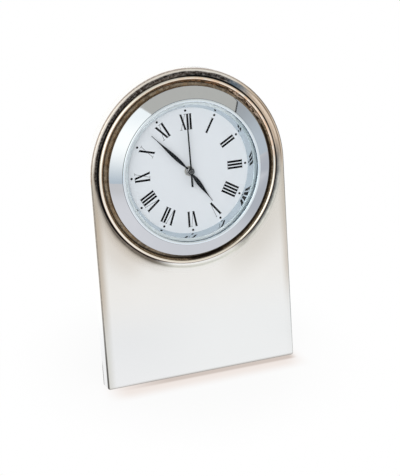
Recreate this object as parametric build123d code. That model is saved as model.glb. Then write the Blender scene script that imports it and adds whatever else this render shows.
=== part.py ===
from build123d import *
import os
from math import cos, hypot, pi, radians, sin, sqrt, tan

# A small standing clock: a pressed silver plate with an arched top, a push-fit quartz
# clock in its round opening, a wooden board behind it and a hinged wooden strut.
# Lengths are in millimetres and angles in degrees.
# The pieces are drawn in the plate's own frame: x to the right, y up the plate, and z
# towards the viewer, with z = 0 on the flat front face and y = 0 at the lower edge.
# At the end they are leaned back and stood on the floor.

# Front of the clock insert
glass_opening = 27.3
glass_ledge = 0.6
glass_thickness = 1.0
gasket_thickness = 0.25
lip_width = 1.15
lip_front = 3.35
lip_round = 0.4
lip_thickness = 0.5
bezel_wall = 2.4
bezel_rim_width = 2.8
bezel_rim_front = 0.6
bezel_rim_round = 0.35
bezel_crown = 0.03
reflector_width = 2.6
reflector_tilt = 24.6
reflector_round = 0.8
dial_front = -1.4
dial_thickness = 0.4
slip = 0.1

# Case of the clock insert
can_wall = 1.2
can_entry = 1.4
ledge_width = 2.2
ledge_thickness = 1.0
case_back_thickness = 1.0
grip_thickness = 0.55
grip_rib_depth = 0.3
grip_ribs = 3
grip_length = 2.8
grip_rib_slope = 0.3
push_fit = 0.05
case_back_round = 0.8

# Plate
groove_width = 1.2
bead_offset = 1.6
bead_round = 0.75
bead_rise = 0.1
hollow_depth = 0.45
hollow_round = 1.0
shoulder_round = 0.8
border = 4.0
dial_height = 82.4
shell_depth = 6.0
sheet = 0.7
edge_round = 0.9
corner_round = 1.0
rear_lip = 1.6
throat_depth = 2.0
lean = 9.8

# Backing board
board_clearance = 0.15

# Strut and its hinge
strut_open = 27.0
strut_top_width = 24.0
strut_foot_width = 34.0
strut_thickness = 4.0
strut_chamfer = 0.6
hinge_width = 22.0
hinge_leaf = 7.0
hinge_metal = 0.6
hinge_pin_radius = 0.7
hinge_knuckle_radius = 1.4
hinge_play = 0.05
hinge_gap = 0.2
hinge_below_can = 3.0
hinge_stop_length = 4.0
hinge_screw_spread = 15.0
screw_radius = 0.6
screw_head_radius = 1.3
screw_head_thickness = 0.35
screw_length = 2.6

# Movement plates
front_plate_thickness = 1.2
middle_plate_thickness = 0.8
rear_wall_thickness = 1.0
movement_wall = 1.0
movement_corner = 3.5
post_radius = 1.8
post_inset = 3.4
movement_screw_radius = 0.7
movement_screw_head_radius = 1.4
movement_screw_head_thickness = 0.3
running_clearance = 0.05
stem_radius = 1.9
stem_stand = 0.4

# Train levels, counted backwards from the front plate
gear_thickness = 0.5
level_gap = 0.3
pinion_extra = 0.1
arbor_radius = 0.4
pivot_depth = 0.6
magnet_length = 1.2
magnet_radius = 1.5
magnet_gap = 0.4
rotor_shaft_radius = 0.3
rear_room = 0.4

# Tooth counts
rotor_leaves = 6
step_teeth = 36
step_leaves = 6
second_teeth = 30
second_leaves = 8
third_teeth = 60
third_leaves = 8
center_teeth = 64
cannon_teeth = 12
minute_teeth = 36
minute_leaves = 10
hour_teeth = 40
setting_teeth = 12

# Tooth sizes: modules of one gear of each pair, and shares of a tooth's pitch
step_module = 0.25
second_module = 0.36
center_module = 0.25
hour_module = 0.3
addendum = 0.8
dedendum = 1.3
wheel_root_share = 0.5
leaf_root_share = 0.42
tip_share = 0.17

# Bearings of the arbors from the one before, anticlockwise from 3 o'clock
third_bearing = 150.0
step_bearing = 60.0
rotor_bearing = 60.0
minute_bearing = 300.0
setting_bearing = 300.0

# Hands, with the angles that they show clockwise from 12
hours_shown = 4
minute_hand_angle = 316.8
second_hand_angle = -1.0
hand_thickness = 0.2
hour_hand_stand = 0.9
minute_hand_stand = 1.6
second_hand_stand = 2.35
hand_boss_thickness = 0.4
hour_hand_length = 15.4
hour_hand_half_width = 0.85
hour_hand_widest = 6.2
hour_boss_radius = 1.75
minute_hand_length = 21.6
minute_hand_half_width = 0.75
minute_hand_widest = 9.0
minute_boss_radius = 1.45
second_hand_length = 19.5
second_hand_half_width = 0.3
second_tip_half_width = 0.24
second_tail_length = 6.0
second_tail_half_width = 0.4
second_boss_radius = 1.25
hand_neck_half_width = 0.28
hand_tip_half_width = 0.14
second_shaft_radius = 0.4
cannon_wall = 0.4
hour_pipe_wall = 0.5

# Coil, circuit and battery
stator_thickness = 0.7
stator_reach = 11.5
stator_leg = 3.0
stator_below = 2.2
stator_above = 2.3
coil_half = 1.5
core_half = 1.0
coil_gap = 1.24
coil_room = 1.3
coil_half_length = 8.0
circuit_left = 9.6
circuit_right = 17.4
circuit_bottom = -10.4
circuit_top = 5.0
circuit_thickness = 0.8
circuit_stand = 1.0
chip_radius = 1.6
chip_height = 0.8
chip_at = (13.5, -6.5)
resonator_radius = 0.75
resonator_length = 6.0
resonator_at = (13.5, 0.5)
cell_radius = 5.8
cell_thickness = 5.4
cell_at = (-9.6, -7.6)
cell_clearance = 0.25
contact_metal = 0.3
contact_width = 1.6
contact_detour = 2.4
contact_pad_radius = 4.0

# Rear of the case
cover_width = 14.0
cover_height = 14.0
cover_thickness = 1.2
cover_travel = 13.0
cover_clearance = 0.1
cover_ridges = 4
cover_ridge_width = 0.6
cover_ridge_height = 0.4
rail_width = 1.0
rail_lip = 0.7
setting_shaft_radius = 1.0
knob_radius = 4.0
knob_length = 3.0
knob_gap = 0.4
knob_round = 0.5
knob_flutes = 24
knob_flute_radius = 0.35

# Sizes that follow from those above
lip_radius = glass_opening + lip_width
glass_radius = glass_opening + glass_ledge
pocket_radius = glass_radius + slip
can_radius = pocket_radius + bezel_wall
bezel_radius = can_radius + bezel_rim_width
dial_opening = glass_opening - reflector_width
throat_radius = bezel_radius + groove_width
bead_radius = throat_radius + bead_offset
arch_radius = bead_radius + border
board_front = -throat_depth
board_back = sheet - shell_depth
board_hole = can_radius + grip_thickness + push_fit
glass_front = lip_front - lip_thickness
glass_back = glass_front - glass_thickness
gasket_back = glass_back - gasket_thickness
dial_back = dial_front - dial_thickness
can_front = board_front + can_entry
can_inside = can_radius - can_wall
front_plate_back = dial_back - front_plate_thickness
level_pitch = gear_thickness + level_gap
hour_level = front_plate_back - level_gap
minute_level = hour_level - level_pitch
center_level = minute_level - level_pitch
third_level = center_level - level_pitch
middle_plate_front = third_level - level_pitch
middle_plate_back = middle_plate_front - middle_plate_thickness
second_level = middle_plate_back - level_gap
step_level = second_level - level_pitch
magnet_front = step_level - level_pitch
magnet_back = magnet_front - magnet_length
rear_wall_front = magnet_back - rear_room
rear_wall_back = rear_wall_front - rear_wall_thickness
case_back_front = rear_wall_back - rear_room
case_back = case_back_front - case_back_thickness
cover_front = case_back - running_clearance
cover_back = cover_front - cover_thickness
cell_front = middle_plate_back - contact_metal - running_clearance
stator_front = (magnet_front + magnet_back + stator_thickness) / 2
stator_back = stator_front - stator_thickness

# Coaxial arbors behind the hands
cannon_bore = second_shaft_radius + running_clearance
cannon_radius = cannon_bore + cannon_wall
hour_pipe_bore = cannon_radius + running_clearance
hour_pipe_radius = hour_pipe_bore + hour_pipe_wall

# Pairs of gears on two common distances: modules of the second pair of each
center_distance = center_module * (third_leaves + center_teeth) / 2
second_pinion_module = 2 * center_distance / (second_leaves + third_teeth)
motion_distance = hour_module * (minute_leaves + hour_teeth) / 2
cannon_module = 2 * motion_distance / (cannon_teeth + minute_teeth)
step_distance = second_module * (step_leaves + second_teeth) / 2
rotor_distance = step_module * (rotor_leaves + step_teeth) / 2
setting_distance = cannon_module * (setting_teeth + minute_teeth) / 2


def polar(start, distance, bearing):
    """Point at a distance and a bearing from another one."""
    turn = radians(bearing)
    return (start[0] + distance * cos(turn), start[1] + distance * sin(turn))


dial_axis = (0.0, 0.0)
third_at = polar(dial_axis, center_distance, third_bearing)
step_at = polar(dial_axis, step_distance, step_bearing)
rotor_at = polar(step_at, rotor_distance, rotor_bearing)
minute_at = polar(dial_axis, motion_distance, minute_bearing)
setting_at = polar(minute_at, setting_distance, setting_bearing)

# Movement as large as its motor needs: the coil above the stator's plate, then the wall
stator_top = rotor_at[1] + stator_above
coil_height = stator_top + coil_gap + coil_half
movement_half = coil_height + coil_half + coil_room + movement_wall
post_reach = movement_half - movement_wall - post_inset
posts = [(x * post_reach, y * post_reach) for x in (-1, 1) for y in (-1, 1)]

# Hinge pin of the strut, just below the can
hinge_height = dial_height - can_radius - hinge_below_can - hinge_leaf
hinge_depth = board_back - hinge_knuckle_radius - hinge_gap / 2


# Helpers
def rod(radius, front, back, at=dial_axis):
    """Round bar along z between two depths."""
    return Pos(at[0], at[1], (front + back) / 2) * Cylinder(radius, front - back)


def running_hole(radius, front, back, at=dial_axis):
    """Hole in which an arbor of a radius runs freely."""
    return rod(radius + running_clearance, front, back, at)


def block(left, right, bottom, top, front, back):
    """Rectangular bar between six planes."""
    middle = ((left + right) / 2, (bottom + top) / 2, (front + back) / 2)
    return Pos(*middle) * Box(right - left, top - bottom, front - back)


def section_point(point):
    """Point of a ring's section, given as its radius and its z."""
    return (point[0], 0, point[1])


def rounded(section, corner, radius):
    """Ring section with one corner rounded."""
    place = Vector(*section_point(corner))
    return fillet(section.vertices().sort_by_distance(place)[0], radius)


def ring_section(points):
    """Face of a ring's section from straight runs between points."""
    return make_face(Polyline(*[section_point(point) for point in points], close=True))


def turned(points):
    """Ring turned about the dial axis from straight runs between points of its section."""
    return revolve(ring_section(points), Axis.Z)


def tooth_outline(teeth, module, phase, root_share):
    """Points round a gear with straight-sided teeth. The phase is one tooth's bearing in radians."""
    pitch = 2 * pi / teeth
    root = (teeth / 2 - dedendum) * module
    tip = (teeth / 2 + addendum) * module
    corners = (
        (root, -root_share / 2),
        (tip, -tip_share / 2),
        (tip, tip_share / 2),
        (root, root_share / 2),
    )
    points = []
    for number in range(teeth):
        for radius, share in corners:
            angle = phase + (number + share) * pitch
            points.append((radius * cos(angle), radius * sin(angle)))
    return points


def toothed(teeth, module, phase, root_share, front, back, at):
    """Gear about an arbor parallel to z."""
    outline = Polyline(*tooth_outline(teeth, module, phase, root_share), close=True)
    return Pos(at[0], at[1], back) * extrude(make_face(outline), front - back)


def wheel(teeth, module, phase, level, at):
    """Large gear of a pair, one level thick."""
    return toothed(teeth, module, phase, wheel_root_share, level, level - gear_thickness, at)


def pinion(teeth, module, phase, level, at):
    """Small gear of a pair, a little longer than the wheel that it drives or follows."""
    front = level + pinion_extra
    back = level - gear_thickness - pinion_extra
    return toothed(teeth, module, phase, leaf_root_share, front, back, at)


def meshing(teeth, phase, other_teeth, bearing):
    """Phase of a gear that meshes with another one, seen from that other one at a bearing in degrees."""
    line = radians(bearing)
    lead = (line - phase) * teeth / (2 * pi) % 1
    return line + pi - (0.5 - lead) * 2 * pi / other_teeth


def arch(inset, corner):
    """Outline of the plate, drawn in by an inset, with rounded lower corners."""
    half = arch_radius - inset
    left = (-half, dial_height)
    right = (half, dial_height)
    top = (0, dial_height + half)
    sides = Polyline(left, (-half, inset), (half, inset), right)
    face = make_face([*sides.edges(), ThreePointArc(right, top, left)])
    if corner > 0:
        lower = face.vertices().group_by(Axis.Y)[0]
        face = fillet(lower, corner)
    return face


def arch_slab(inset, front, back):
    """Slab with the plate's outline between two depths."""
    return Pos(0, 0, back) * extrude(arch(inset, corner_round - inset), front - back)


def on_dial(shape):
    """Piece drawn about the dial axis, carried to its height on the plate."""
    return Pos(0, dial_height, 0) * shape


# Plate, board and strut
def along(start, end, distance):
    """Point at a distance from one point towards another."""
    share = distance / hypot(end[0] - start[0], end[1] - start[1])
    return (start[0] + share * (end[0] - start[0]), start[1] + share * (end[1] - start[1]))


def section_arc(centre, start, end):
    """Arc of a ring's section about a centre, of under half a turn."""
    radius = hypot(start[0] - centre[0], start[1] - centre[1])
    chord_middle = ((start[0] + end[0]) / 2, (start[1] + end[1]) / 2)
    crown = along(centre, chord_middle, radius)
    return ThreePointArc(*[section_point(point) for point in (start, crown, end)])


def next_centre(centre, height, reach):
    """Centre of the next round of a section, further out, at a height and a distance from this one."""
    return (centre[0] + sqrt(reach**2 - (height - centre[1]) ** 2), height)


def bead_ring():
    """Ring round the opening, a shoulder, a hollow, a bead and a flared throat, and its outer radius."""
    bead = (bead_radius, bead_rise - bead_round)
    hollow = next_centre(bead, hollow_round - hollow_depth, bead_round + hollow_round)
    shoulder = next_centre(hollow, -shoulder_round, hollow_round + shoulder_round)
    foot = (shoulder[0], 0)
    outer_join = along(shoulder, hollow, shoulder_round)
    inner_join = along(bead, hollow, bead_round)
    inner = (bead_radius - bead_round, bead[1])
    inside = [
        inner,
        (throat_radius, -throat_depth),
        (throat_radius + sheet, -throat_depth),
        (hollow[0], -hollow_depth - sheet),
        (foot[0], -sheet),
        foot,
    ]
    edges = [
        section_arc(shoulder, foot, outer_join),
        section_arc(hollow, outer_join, inner_join),
        section_arc(bead, inner_join, inner),
        *Polyline(*[section_point(point) for point in inside]).edges(),
    ]
    return revolve(make_face(edges), Axis.Z), foot[0]


def make_front_shell():
    """Pressed sheet: rounded front edges, deep sides and a rear lip turned in over the board."""
    outside = arch_slab(0, 0, -shell_depth)
    outside = fillet(outside.edges().group_by(Axis.Z)[-1], edge_round)
    inside = arch_slab(sheet, -sheet, board_back)
    mouth = arch_slab(sheet + rear_lip, board_back, -shell_depth)
    ring, foot = bead_ring()
    opening = on_dial(rod(foot, bead_rise, board_front))
    return outside - inside - mouth - opening + on_dial(ring)


def make_backing_board():
    """Wooden board that fills the shell and carries the clock insert and the hinge."""
    board = arch_slab(sheet + board_clearance, board_front, board_back)
    return board - on_dial(rod(board_hole, board_front, board_back))


def at_hinge(shape):
    """Piece drawn about the hinge pin, carried to the pin's place on the board."""
    return Pos(0, hinge_height, hinge_depth) * shape


def pin_bar(radius, left, right):
    """Round bar along the pin's axis between two places along it."""
    return Pos((left + right) / 2, 0, 0) * Rot(0, 90, 0) * Cylinder(radius, right - left)


def knuckle(left, right):
    """Tube of the hinge round the pin between two places along it."""
    return pin_bar(hinge_knuckle_radius, left, right) - pin_bar(hinge_pin_radius + hinge_play, left, right)


def leaf_screw_places():
    """Places of a leaf's screws along the pin."""
    return (-hinge_screw_spread / 2, hinge_screw_spread / 2)


def wood_screw(x, y, head_back):
    """Flat-headed screw that points towards the viewer, with the back of its head at a depth."""
    head_front = head_back + screw_head_thickness
    head = rod(screw_head_radius, head_front, head_back, (x, y))
    return head + rod(screw_radius, head_front + screw_length, head_front, (x, y))


leaf_face = hinge_knuckle_radius
leaf_rear = leaf_face - hinge_metal
knuckle_end = hinge_width / 2
knuckle_split = hinge_width / 4


def make_board_screws():
    """Screws of the upper leaf, drawn about the pin: they run forwards into the board."""
    head_back = leaf_rear + hinge_gap / 2 - screw_head_thickness
    height = hinge_knuckle_radius + hinge_gap + hinge_leaf / 2
    return [wood_screw(x, height, head_back) for x in leaf_screw_places()]


def make_board_leaf():
    """Upper leaf, flat on the board, with the two outer knuckles."""
    leaf_front = leaf_face + hinge_gap / 2
    leaf_back = leaf_front - hinge_metal
    top = hinge_knuckle_radius + hinge_gap + hinge_leaf
    leaf = block(-knuckle_end, knuckle_end, hinge_knuckle_radius + hinge_gap, top, leaf_front, leaf_back)
    for side in (-1, 1):
        inner = side * (knuckle_split + hinge_gap / 2)
        outer = side * knuckle_end
        left, right = min(inner, outer), max(inner, outer)
        leaf += block(left, right, 0, hinge_knuckle_radius + hinge_gap, leaf_face, leaf_back)
        leaf -= pin_bar(hinge_pin_radius + hinge_play, left, right)
        leaf += knuckle(left, right)
    return leaf


def make_strut_leaf():
    """Lower leaf, flat on the strut, with the middle knuckle."""
    left, right = -knuckle_split + hinge_gap / 2, knuckle_split - hinge_gap / 2
    bottom = -hinge_knuckle_radius - hinge_gap - hinge_leaf
    leaf = block(-knuckle_end, knuckle_end, bottom, -hinge_knuckle_radius - hinge_gap, leaf_face, leaf_rear)
    leaf += block(left, right, -hinge_knuckle_radius - hinge_gap, 0, leaf_face, leaf_rear)
    leaf -= pin_bar(hinge_pin_radius + hinge_play, left, right)
    return leaf + knuckle(left, right)


def make_stop_tab():
    """Tab above the middle knuckle that meets the upper leaf when the strut is open."""
    half = knuckle_split - hinge_gap / 2
    tab_front = leaf_face + hinge_gap / 2 - hinge_metal - hinge_play
    top = hinge_knuckle_radius + hinge_stop_length
    tab = block(-half, half, 0, top, tab_front, tab_front - hinge_metal)
    return tab - pin_bar(hinge_knuckle_radius - hinge_metal / 2, -half, half)


def make_strut_screws():
    """Screws of the lower leaf, drawn about the pin with the strut folded: they run backwards into it."""
    height = hinge_knuckle_radius + hinge_gap + hinge_leaf / 2
    screws = [wood_screw(x, height, hinge_play - leaf_face) for x in leaf_screw_places()]
    return [Rot(180, 0, 0) * screw for screw in screws]


def make_strut():
    """Wooden leg behind the lower leaf, tapered up to the hinge, drawn folded and over-long."""
    top = -hinge_knuckle_radius - hinge_gap
    length = 2 * hinge_height
    spread = (strut_foot_width - strut_top_width) / 2 * length / hinge_height
    half = strut_top_width / 2
    low = top - length
    outline = Polyline((-half, top), (-half - spread, low), (half + spread, low), (half, top), close=True)
    slab = extrude(make_face(outline), strut_thickness)
    slab = chamfer(slab.edges().group_by(Axis.Z)[0], strut_chamfer)
    return Pos(0, 0, leaf_rear - strut_thickness) * slab


def floor_block():
    """Everything below the floor that the shell's lower rear edge stands on."""
    reach = 4 * (dial_height + arch_radius)
    up = (0, cos(radians(lean)), sin(radians(lean)))
    floor = Plane(origin=(0, 0, -shell_depth), x_dir=(1, 0, 0), z_dir=up)
    return floor * Box(reach, reach, reach, align=(Align.CENTER, Align.CENTER, Align.MAX))


def opened(shape):
    """Piece drawn about the pin with the strut folded, swung out to where the strut stands."""
    return at_hinge(Rot(strut_open, 0, 0) * shape)


# Front of the clock insert
def make_bezel():
    """Polished ring: a crowned cone, a raised round lip, a seat for the glass, a recess for the can."""
    rim = (bezel_radius, bezel_rim_front)
    cone_end = (lip_radius, glass_front)
    lip = (lip_radius, lip_front)
    lip_edge = (glass_opening, lip_front)
    width, rise = rim[0] - cone_end[0], cone_end[1] - rim[1]
    slant = hypot(width, rise)
    crown = (
        (rim[0] + cone_end[0]) / 2 + bezel_crown * rise / slant,
        (rim[1] + cone_end[1]) / 2 + bezel_crown * width / slant,
    )
    cone = ThreePointArc(section_point(rim), section_point(crown), section_point(cone_end))
    recess = can_radius + push_fit
    inside = [
        cone_end,
        lip,
        lip_edge,
        (glass_opening, glass_front),
        (pocket_radius, glass_front),
        (pocket_radius, can_front),
        (recess, can_front),
        (recess, board_front),
        (bezel_radius, board_front),
        rim,
    ]
    section = make_face([cone, *Polyline(*[section_point(point) for point in inside]).edges()])
    section = rounded(section, rim, bezel_rim_round)
    section = rounded(section, lip, lip_round)
    section = rounded(section, lip_edge, lip_round)
    return revolve(section, Axis.Z)


def make_reflector_ring():
    """Polished steep cone from the edge of the dial, rolled over at the top under the gasket."""
    tilt = radians(reflector_tilt)
    outer = pocket_radius - slip / 2
    roll_start = gasket_back - reflector_round * (1 - sin(tilt))
    start = (dial_opening + (roll_start - dial_front) * tan(tilt), roll_start)
    centre = (start[0] + reflector_round * cos(tilt), gasket_back - reflector_round)
    half_way = (tilt + pi / 2) / 2
    middle = (centre[0] - reflector_round * cos(half_way), centre[1] + reflector_round * sin(half_way))
    end = (centre[0], gasket_back)
    roll = ThreePointArc(section_point(start), section_point(middle), section_point(end))
    runs = [end, (outer, gasket_back), (outer, dial_front), (dial_opening, dial_front), start]
    section = make_face([roll, *Polyline(*[section_point(point) for point in runs]).edges()])
    return revolve(section, Axis.Z)


def make_gasket():
    """Flat ring between the glass and the reflector ring."""
    outer = pocket_radius - slip / 2
    return rod(outer, glass_back, gasket_back) - rod(glass_opening, glass_back, gasket_back)


def make_dial():
    """Thin round dial with a hole for the hand stem."""
    radius = can_inside - slip
    return rod(radius, dial_front, dial_back) - rod(stem_radius + running_clearance, dial_front, dial_back)


# Movement plates and case
def movement_slab(half, corner, front, back):
    """Rounded square slab about the dial axis."""
    return Pos(0, 0, back) * extrude(RectangleRounded(2 * half, 2 * half, corner), front - back)


def make_front_plate():
    """Round plate that carries the dial, with the hand stem, four posts and the minute wheel's stud."""
    plate = rod(can_inside - slip, dial_back, front_plate_back)
    plate += rod(stem_radius, dial_front + stem_stand, front_plate_back)
    stud_end = minute_level - gear_thickness - level_gap / 2
    plate += rod(2 * arbor_radius, front_plate_back, stud_end, minute_at)
    for post in posts:
        plate += rod(post_radius, front_plate_back, middle_plate_front, post)
    for post in posts:
        plate -= rod(movement_screw_radius, minute_level, middle_plate_front, post)
    plate -= running_hole(hour_pipe_radius, dial_front + stem_stand, front_plate_back)
    pivot_floor = front_plate_back + pivot_depth
    plate -= running_hole(arbor_radius, pivot_floor, front_plate_back, third_at)
    plate -= running_hole(setting_shaft_radius, pivot_floor, front_plate_back, setting_at)
    return plate


def make_middle_plate():
    """Plate between the slow and the fast wheels."""
    half = movement_half - movement_wall - slip
    plate = movement_slab(half, movement_corner - movement_wall, middle_plate_front, middle_plate_back)
    for post in posts:
        plate -= running_hole(movement_screw_radius, middle_plate_front, middle_plate_back, post)
    plate -= running_hole(second_shaft_radius, middle_plate_front, middle_plate_back)
    plate -= running_hole(setting_shaft_radius, middle_plate_front, middle_plate_back, setting_at)
    plate -= running_hole(arbor_radius, middle_plate_front, middle_plate_front - pivot_depth, third_at)
    plate -= running_hole(arbor_radius, middle_plate_back + pivot_depth, middle_plate_back, step_at)
    plate -= running_hole(rotor_shaft_radius, middle_plate_back + pivot_depth, middle_plate_back, rotor_at)
    return plate


def make_rear_case():
    """Square cup behind the plates, with pillars, seats for the stator and circuit, a battery well."""
    inner = movement_half - movement_wall
    cup = movement_slab(movement_half, movement_corner, front_plate_back, rear_wall_back)
    cup -= movement_slab(inner, movement_corner - movement_wall, front_plate_back, rear_wall_front)
    for post in posts:
        cup += rod(post_radius, middle_plate_back, rear_wall_front, post)
    for side in (-1, 1):
        seat_x = side * (stator_reach - stator_leg / 2)
        cup += rod(core_half, stator_back, rear_wall_front, (seat_x, coil_height))
    circuit_back = rear_wall_front + circuit_stand
    for seat_y in (circuit_bottom + circuit_stand, circuit_top - circuit_stand):
        seat_x = circuit_right - circuit_stand
        cup += rod(circuit_stand, circuit_back, rear_wall_front, (seat_x, seat_y))
    for post in posts:
        cup -= running_hole(movement_screw_radius, middle_plate_back, rear_wall_back, post)
    cup -= running_hole(second_shaft_radius, rear_wall_front, rear_wall_front - pivot_depth)
    cup -= running_hole(arbor_radius, rear_wall_front, rear_wall_front - pivot_depth, step_at)
    cup -= running_hole(rotor_shaft_radius, rear_wall_front, rear_wall_front - pivot_depth, rotor_at)
    cup -= running_hole(setting_shaft_radius, rear_wall_front, rear_wall_back, setting_at)
    cup -= rod(cell_radius + cell_clearance, rear_wall_front, rear_wall_back, cell_at)
    return cup


def make_movement_screws():
    """Four screws from the rear wall through the pillars into the front plate's posts."""
    screws = []
    for post in posts:
        head_back = rear_wall_back - movement_screw_head_thickness
        head = rod(movement_screw_head_radius, rear_wall_back, head_back, post)
        screws.append(head + rod(movement_screw_radius, center_level, rear_wall_back, post))
    return screws


def rail_places():
    """Places of the battery cover's two rails, either side of the cell."""
    half = cover_width / 2 + cover_clearance
    return (cell_at[0] - half, -1), (cell_at[0] + half, 1)


def make_case_back():
    """Black cup: a wall that enters the bezel, a ledge under the movement, a rear wall with rails."""
    ledge_back = front_plate_back - ledge_thickness
    rear_edge = (can_radius, case_back)
    section = ring_section(
        [
            (can_inside, can_front),
            (can_radius, can_front),
            rear_edge,
            (0, case_back),
            (0, case_back_front),
            (can_inside, case_back_front),
            (can_inside, ledge_back),
            (can_inside - ledge_width, ledge_back),
            (can_inside - ledge_width, front_plate_back),
            (can_inside, front_plate_back),
        ]
    )
    cup = revolve(rounded(section, rear_edge, case_back_round), Axis.Z)
    window = cell_radius + cell_clearance
    cup -= rod(window, case_back_front, case_back, cell_at)
    cup -= rod(setting_shaft_radius + cell_clearance, case_back_front, case_back, setting_at)
    bottom = cell_at[1] - cover_height / 2
    top = cell_at[1] + cover_height / 2 + cover_travel
    lip_front_face = cover_back - cover_clearance
    lip_back = lip_front_face - rail_lip
    for edge, side in rail_places():
        left, right = sorted((edge, edge + side * rail_width))
        cup += block(left, right, bottom, top, case_back, lip_back)
        left, right = sorted((edge - side * rail_lip, edge + side * rail_width))
        cup += block(left, right, bottom, top, lip_front_face, lip_back)
    return cup


def make_grip_ring():
    """Soft ribbed ring round the can that holds the clock in the board's hole."""
    front = board_front
    low = can_radius + grip_thickness - grip_rib_depth
    high = can_radius + grip_thickness
    pitch = grip_length / grip_ribs
    points = [(can_radius, front), (low, front)]
    for rib in range(grip_ribs):
        points.append((high, front - (rib + grip_rib_slope) * pitch))
        points.append((high, front - (rib + 1 - grip_rib_slope) * pitch))
        points.append((low, front - (rib + 1) * pitch))
    points.append((can_radius, front - grip_length))
    return turned(points)


# Motor, circuit and battery
def make_stator():
    """Flat iron plate round the rotor, with two legs under the coil's core."""
    bottom, top = rotor_at[1] - stator_below, stator_top
    plate = block(-stator_reach, stator_reach, bottom, top, stator_front, stator_back)
    for side in (-1, 1):
        left, right = sorted((side * stator_reach, side * (stator_reach - stator_leg)))
        plate += block(left, right, top, coil_height + core_half, stator_front, stator_back)
    return plate - rod(magnet_radius + magnet_gap, stator_front, stator_back, rotor_at)


core_front = stator_front + stator_thickness


def make_coil_core():
    """Iron bar through the coil, resting on the stator's legs."""
    bottom, top = coil_height - core_half, coil_height + core_half
    return block(-stator_reach, stator_reach, bottom, top, core_front, stator_front)


def make_coil():
    """Wound coil round the core."""
    middle = (core_front + stator_front) / 2
    bottom, top = coil_height - coil_half, coil_height + coil_half
    winding = block(
        -coil_half_length, coil_half_length, bottom, top, middle + coil_half, middle - coil_half
    )
    return winding - make_coil_core()


circuit_front = rear_wall_front + circuit_stand + circuit_thickness


def make_circuit_board():
    """Circuit board on its two seats."""
    back = rear_wall_front + circuit_stand
    return block(circuit_left, circuit_right, circuit_bottom, circuit_top, circuit_front, back)


def make_circuit_chip():
    """Potted chip on the circuit board."""
    return rod(chip_radius, circuit_front + chip_height, circuit_front, chip_at)


def make_resonator():
    """Metal can of the quartz crystal, lying on the circuit board."""
    x, y = resonator_at
    return Pos(x, y, circuit_front + resonator_radius) * Rot(90, 0, 0) * Cylinder(
        resonator_radius, resonator_length
    )


def make_button_cell():
    """Button cell with its narrower negative cap to the front."""
    shoulder = cell_front - contact_metal
    back = cell_front - cell_thickness
    cap = rod(contact_pad_radius, cell_front, shoulder, cell_at)
    return cap + rod(cell_radius, shoulder, back, cell_at)


def make_contact_negative():
    """Spring pad in front of the cell, with a strip round the setting stem to the circuit."""
    front, back = middle_plate_back, middle_plate_back - contact_metal
    x, y = cell_at
    low = setting_at[1] - setting_shaft_radius - contact_detour
    strip_x = circuit_left + contact_width
    half = contact_width / 2
    strip = rod(contact_pad_radius, front, back, cell_at)
    strip += block(x - half, x + half, low - half, y, front, back)
    strip += block(x - half, strip_x + half, low - half, low + half, front, back)
    strip += block(strip_x - half, strip_x + half, low - half, circuit_bottom + contact_width, front, back)
    foot_top = circuit_bottom + contact_width
    foot = block(strip_x - half, strip_x + half, foot_top - half, foot_top, front, circuit_front)
    return strip + foot


def make_contact_positive():
    """Leaf against the cell's side, with a strip along the rear wall to the circuit."""
    side = cell_at[0] + cell_radius
    middle = (cell_front + rear_wall_front) / 2
    half = contact_width / 2
    back = rear_wall_front
    front = back + contact_metal
    y = cell_at[1]
    end_x = circuit_left + contact_width
    leaf = block(side, side + contact_metal, y - half, y + half, middle, back)
    well_edge = side + cell_clearance
    strip = block(well_edge, end_x + half, y - half, y + half, front, back)
    lead = block(side, well_edge + contact_metal, y - half, y + half, front + contact_metal, back)
    foot = block(end_x - half, end_x + half, y - half, y + half, back + circuit_stand, back)
    return leaf + strip + lead + foot - rod(cell_radius, cell_front, back - cell_thickness, cell_at)


# Train
def bored(shape, radius, front, back, at):
    """Piece with a round bore along z."""
    return shape - rod(radius, front, back, at)


hour_phase = 0.0
minute_leaf_phase = meshing(hour_teeth, hour_phase, minute_leaves, minute_bearing)
cannon_phase = 0.0
minute_phase = meshing(cannon_teeth, cannon_phase, minute_teeth, minute_bearing)
setting_phase = meshing(minute_teeth, minute_phase, setting_teeth, setting_bearing)
center_phase = 0.0
third_leaf_phase = meshing(center_teeth, center_phase, third_leaves, third_bearing)
second_leaf_phase = 0.0
third_phase = meshing(second_leaves, second_leaf_phase, third_teeth, third_bearing)
second_phase = 0.0
step_leaf_phase = meshing(second_teeth, second_phase, step_leaves, step_bearing)
step_phase = 0.0
rotor_phase = meshing(step_teeth, step_phase, rotor_leaves, rotor_bearing)

hour_hand_at = dial_front + hour_hand_stand
minute_hand_at = dial_front + minute_hand_stand
second_hand_at = dial_front + second_hand_stand


def make_hour_wheel():
    """Hour wheel with the pipe that carries the hour hand."""
    back = hour_level - gear_thickness
    pipe_front = hour_hand_at + hand_boss_thickness / 2
    shape = wheel(hour_teeth, hour_module, hour_phase, hour_level, dial_axis)
    shape += rod(hour_pipe_radius, pipe_front, back)
    return bored(shape, hour_pipe_bore, pipe_front, back, dial_axis)


def make_cannon_pinion():
    """Pinion of the motion work, on the tube that carries the minute hand."""
    tube_front = minute_hand_at + hand_boss_thickness / 2
    tube_back = center_level - gear_thickness
    shape = pinion(cannon_teeth, cannon_module, cannon_phase, minute_level, dial_axis)
    shape += rod(cannon_radius, tube_front, tube_back)
    return bored(shape, cannon_bore, tube_front, tube_back, dial_axis)


def make_center_wheel():
    """Wheel that grips the cannon pinion's tube and turns once an hour."""
    shape = wheel(center_teeth, center_module, center_phase, center_level, dial_axis)
    return bored(shape, cannon_radius, center_level, center_level - gear_thickness, dial_axis)


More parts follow.
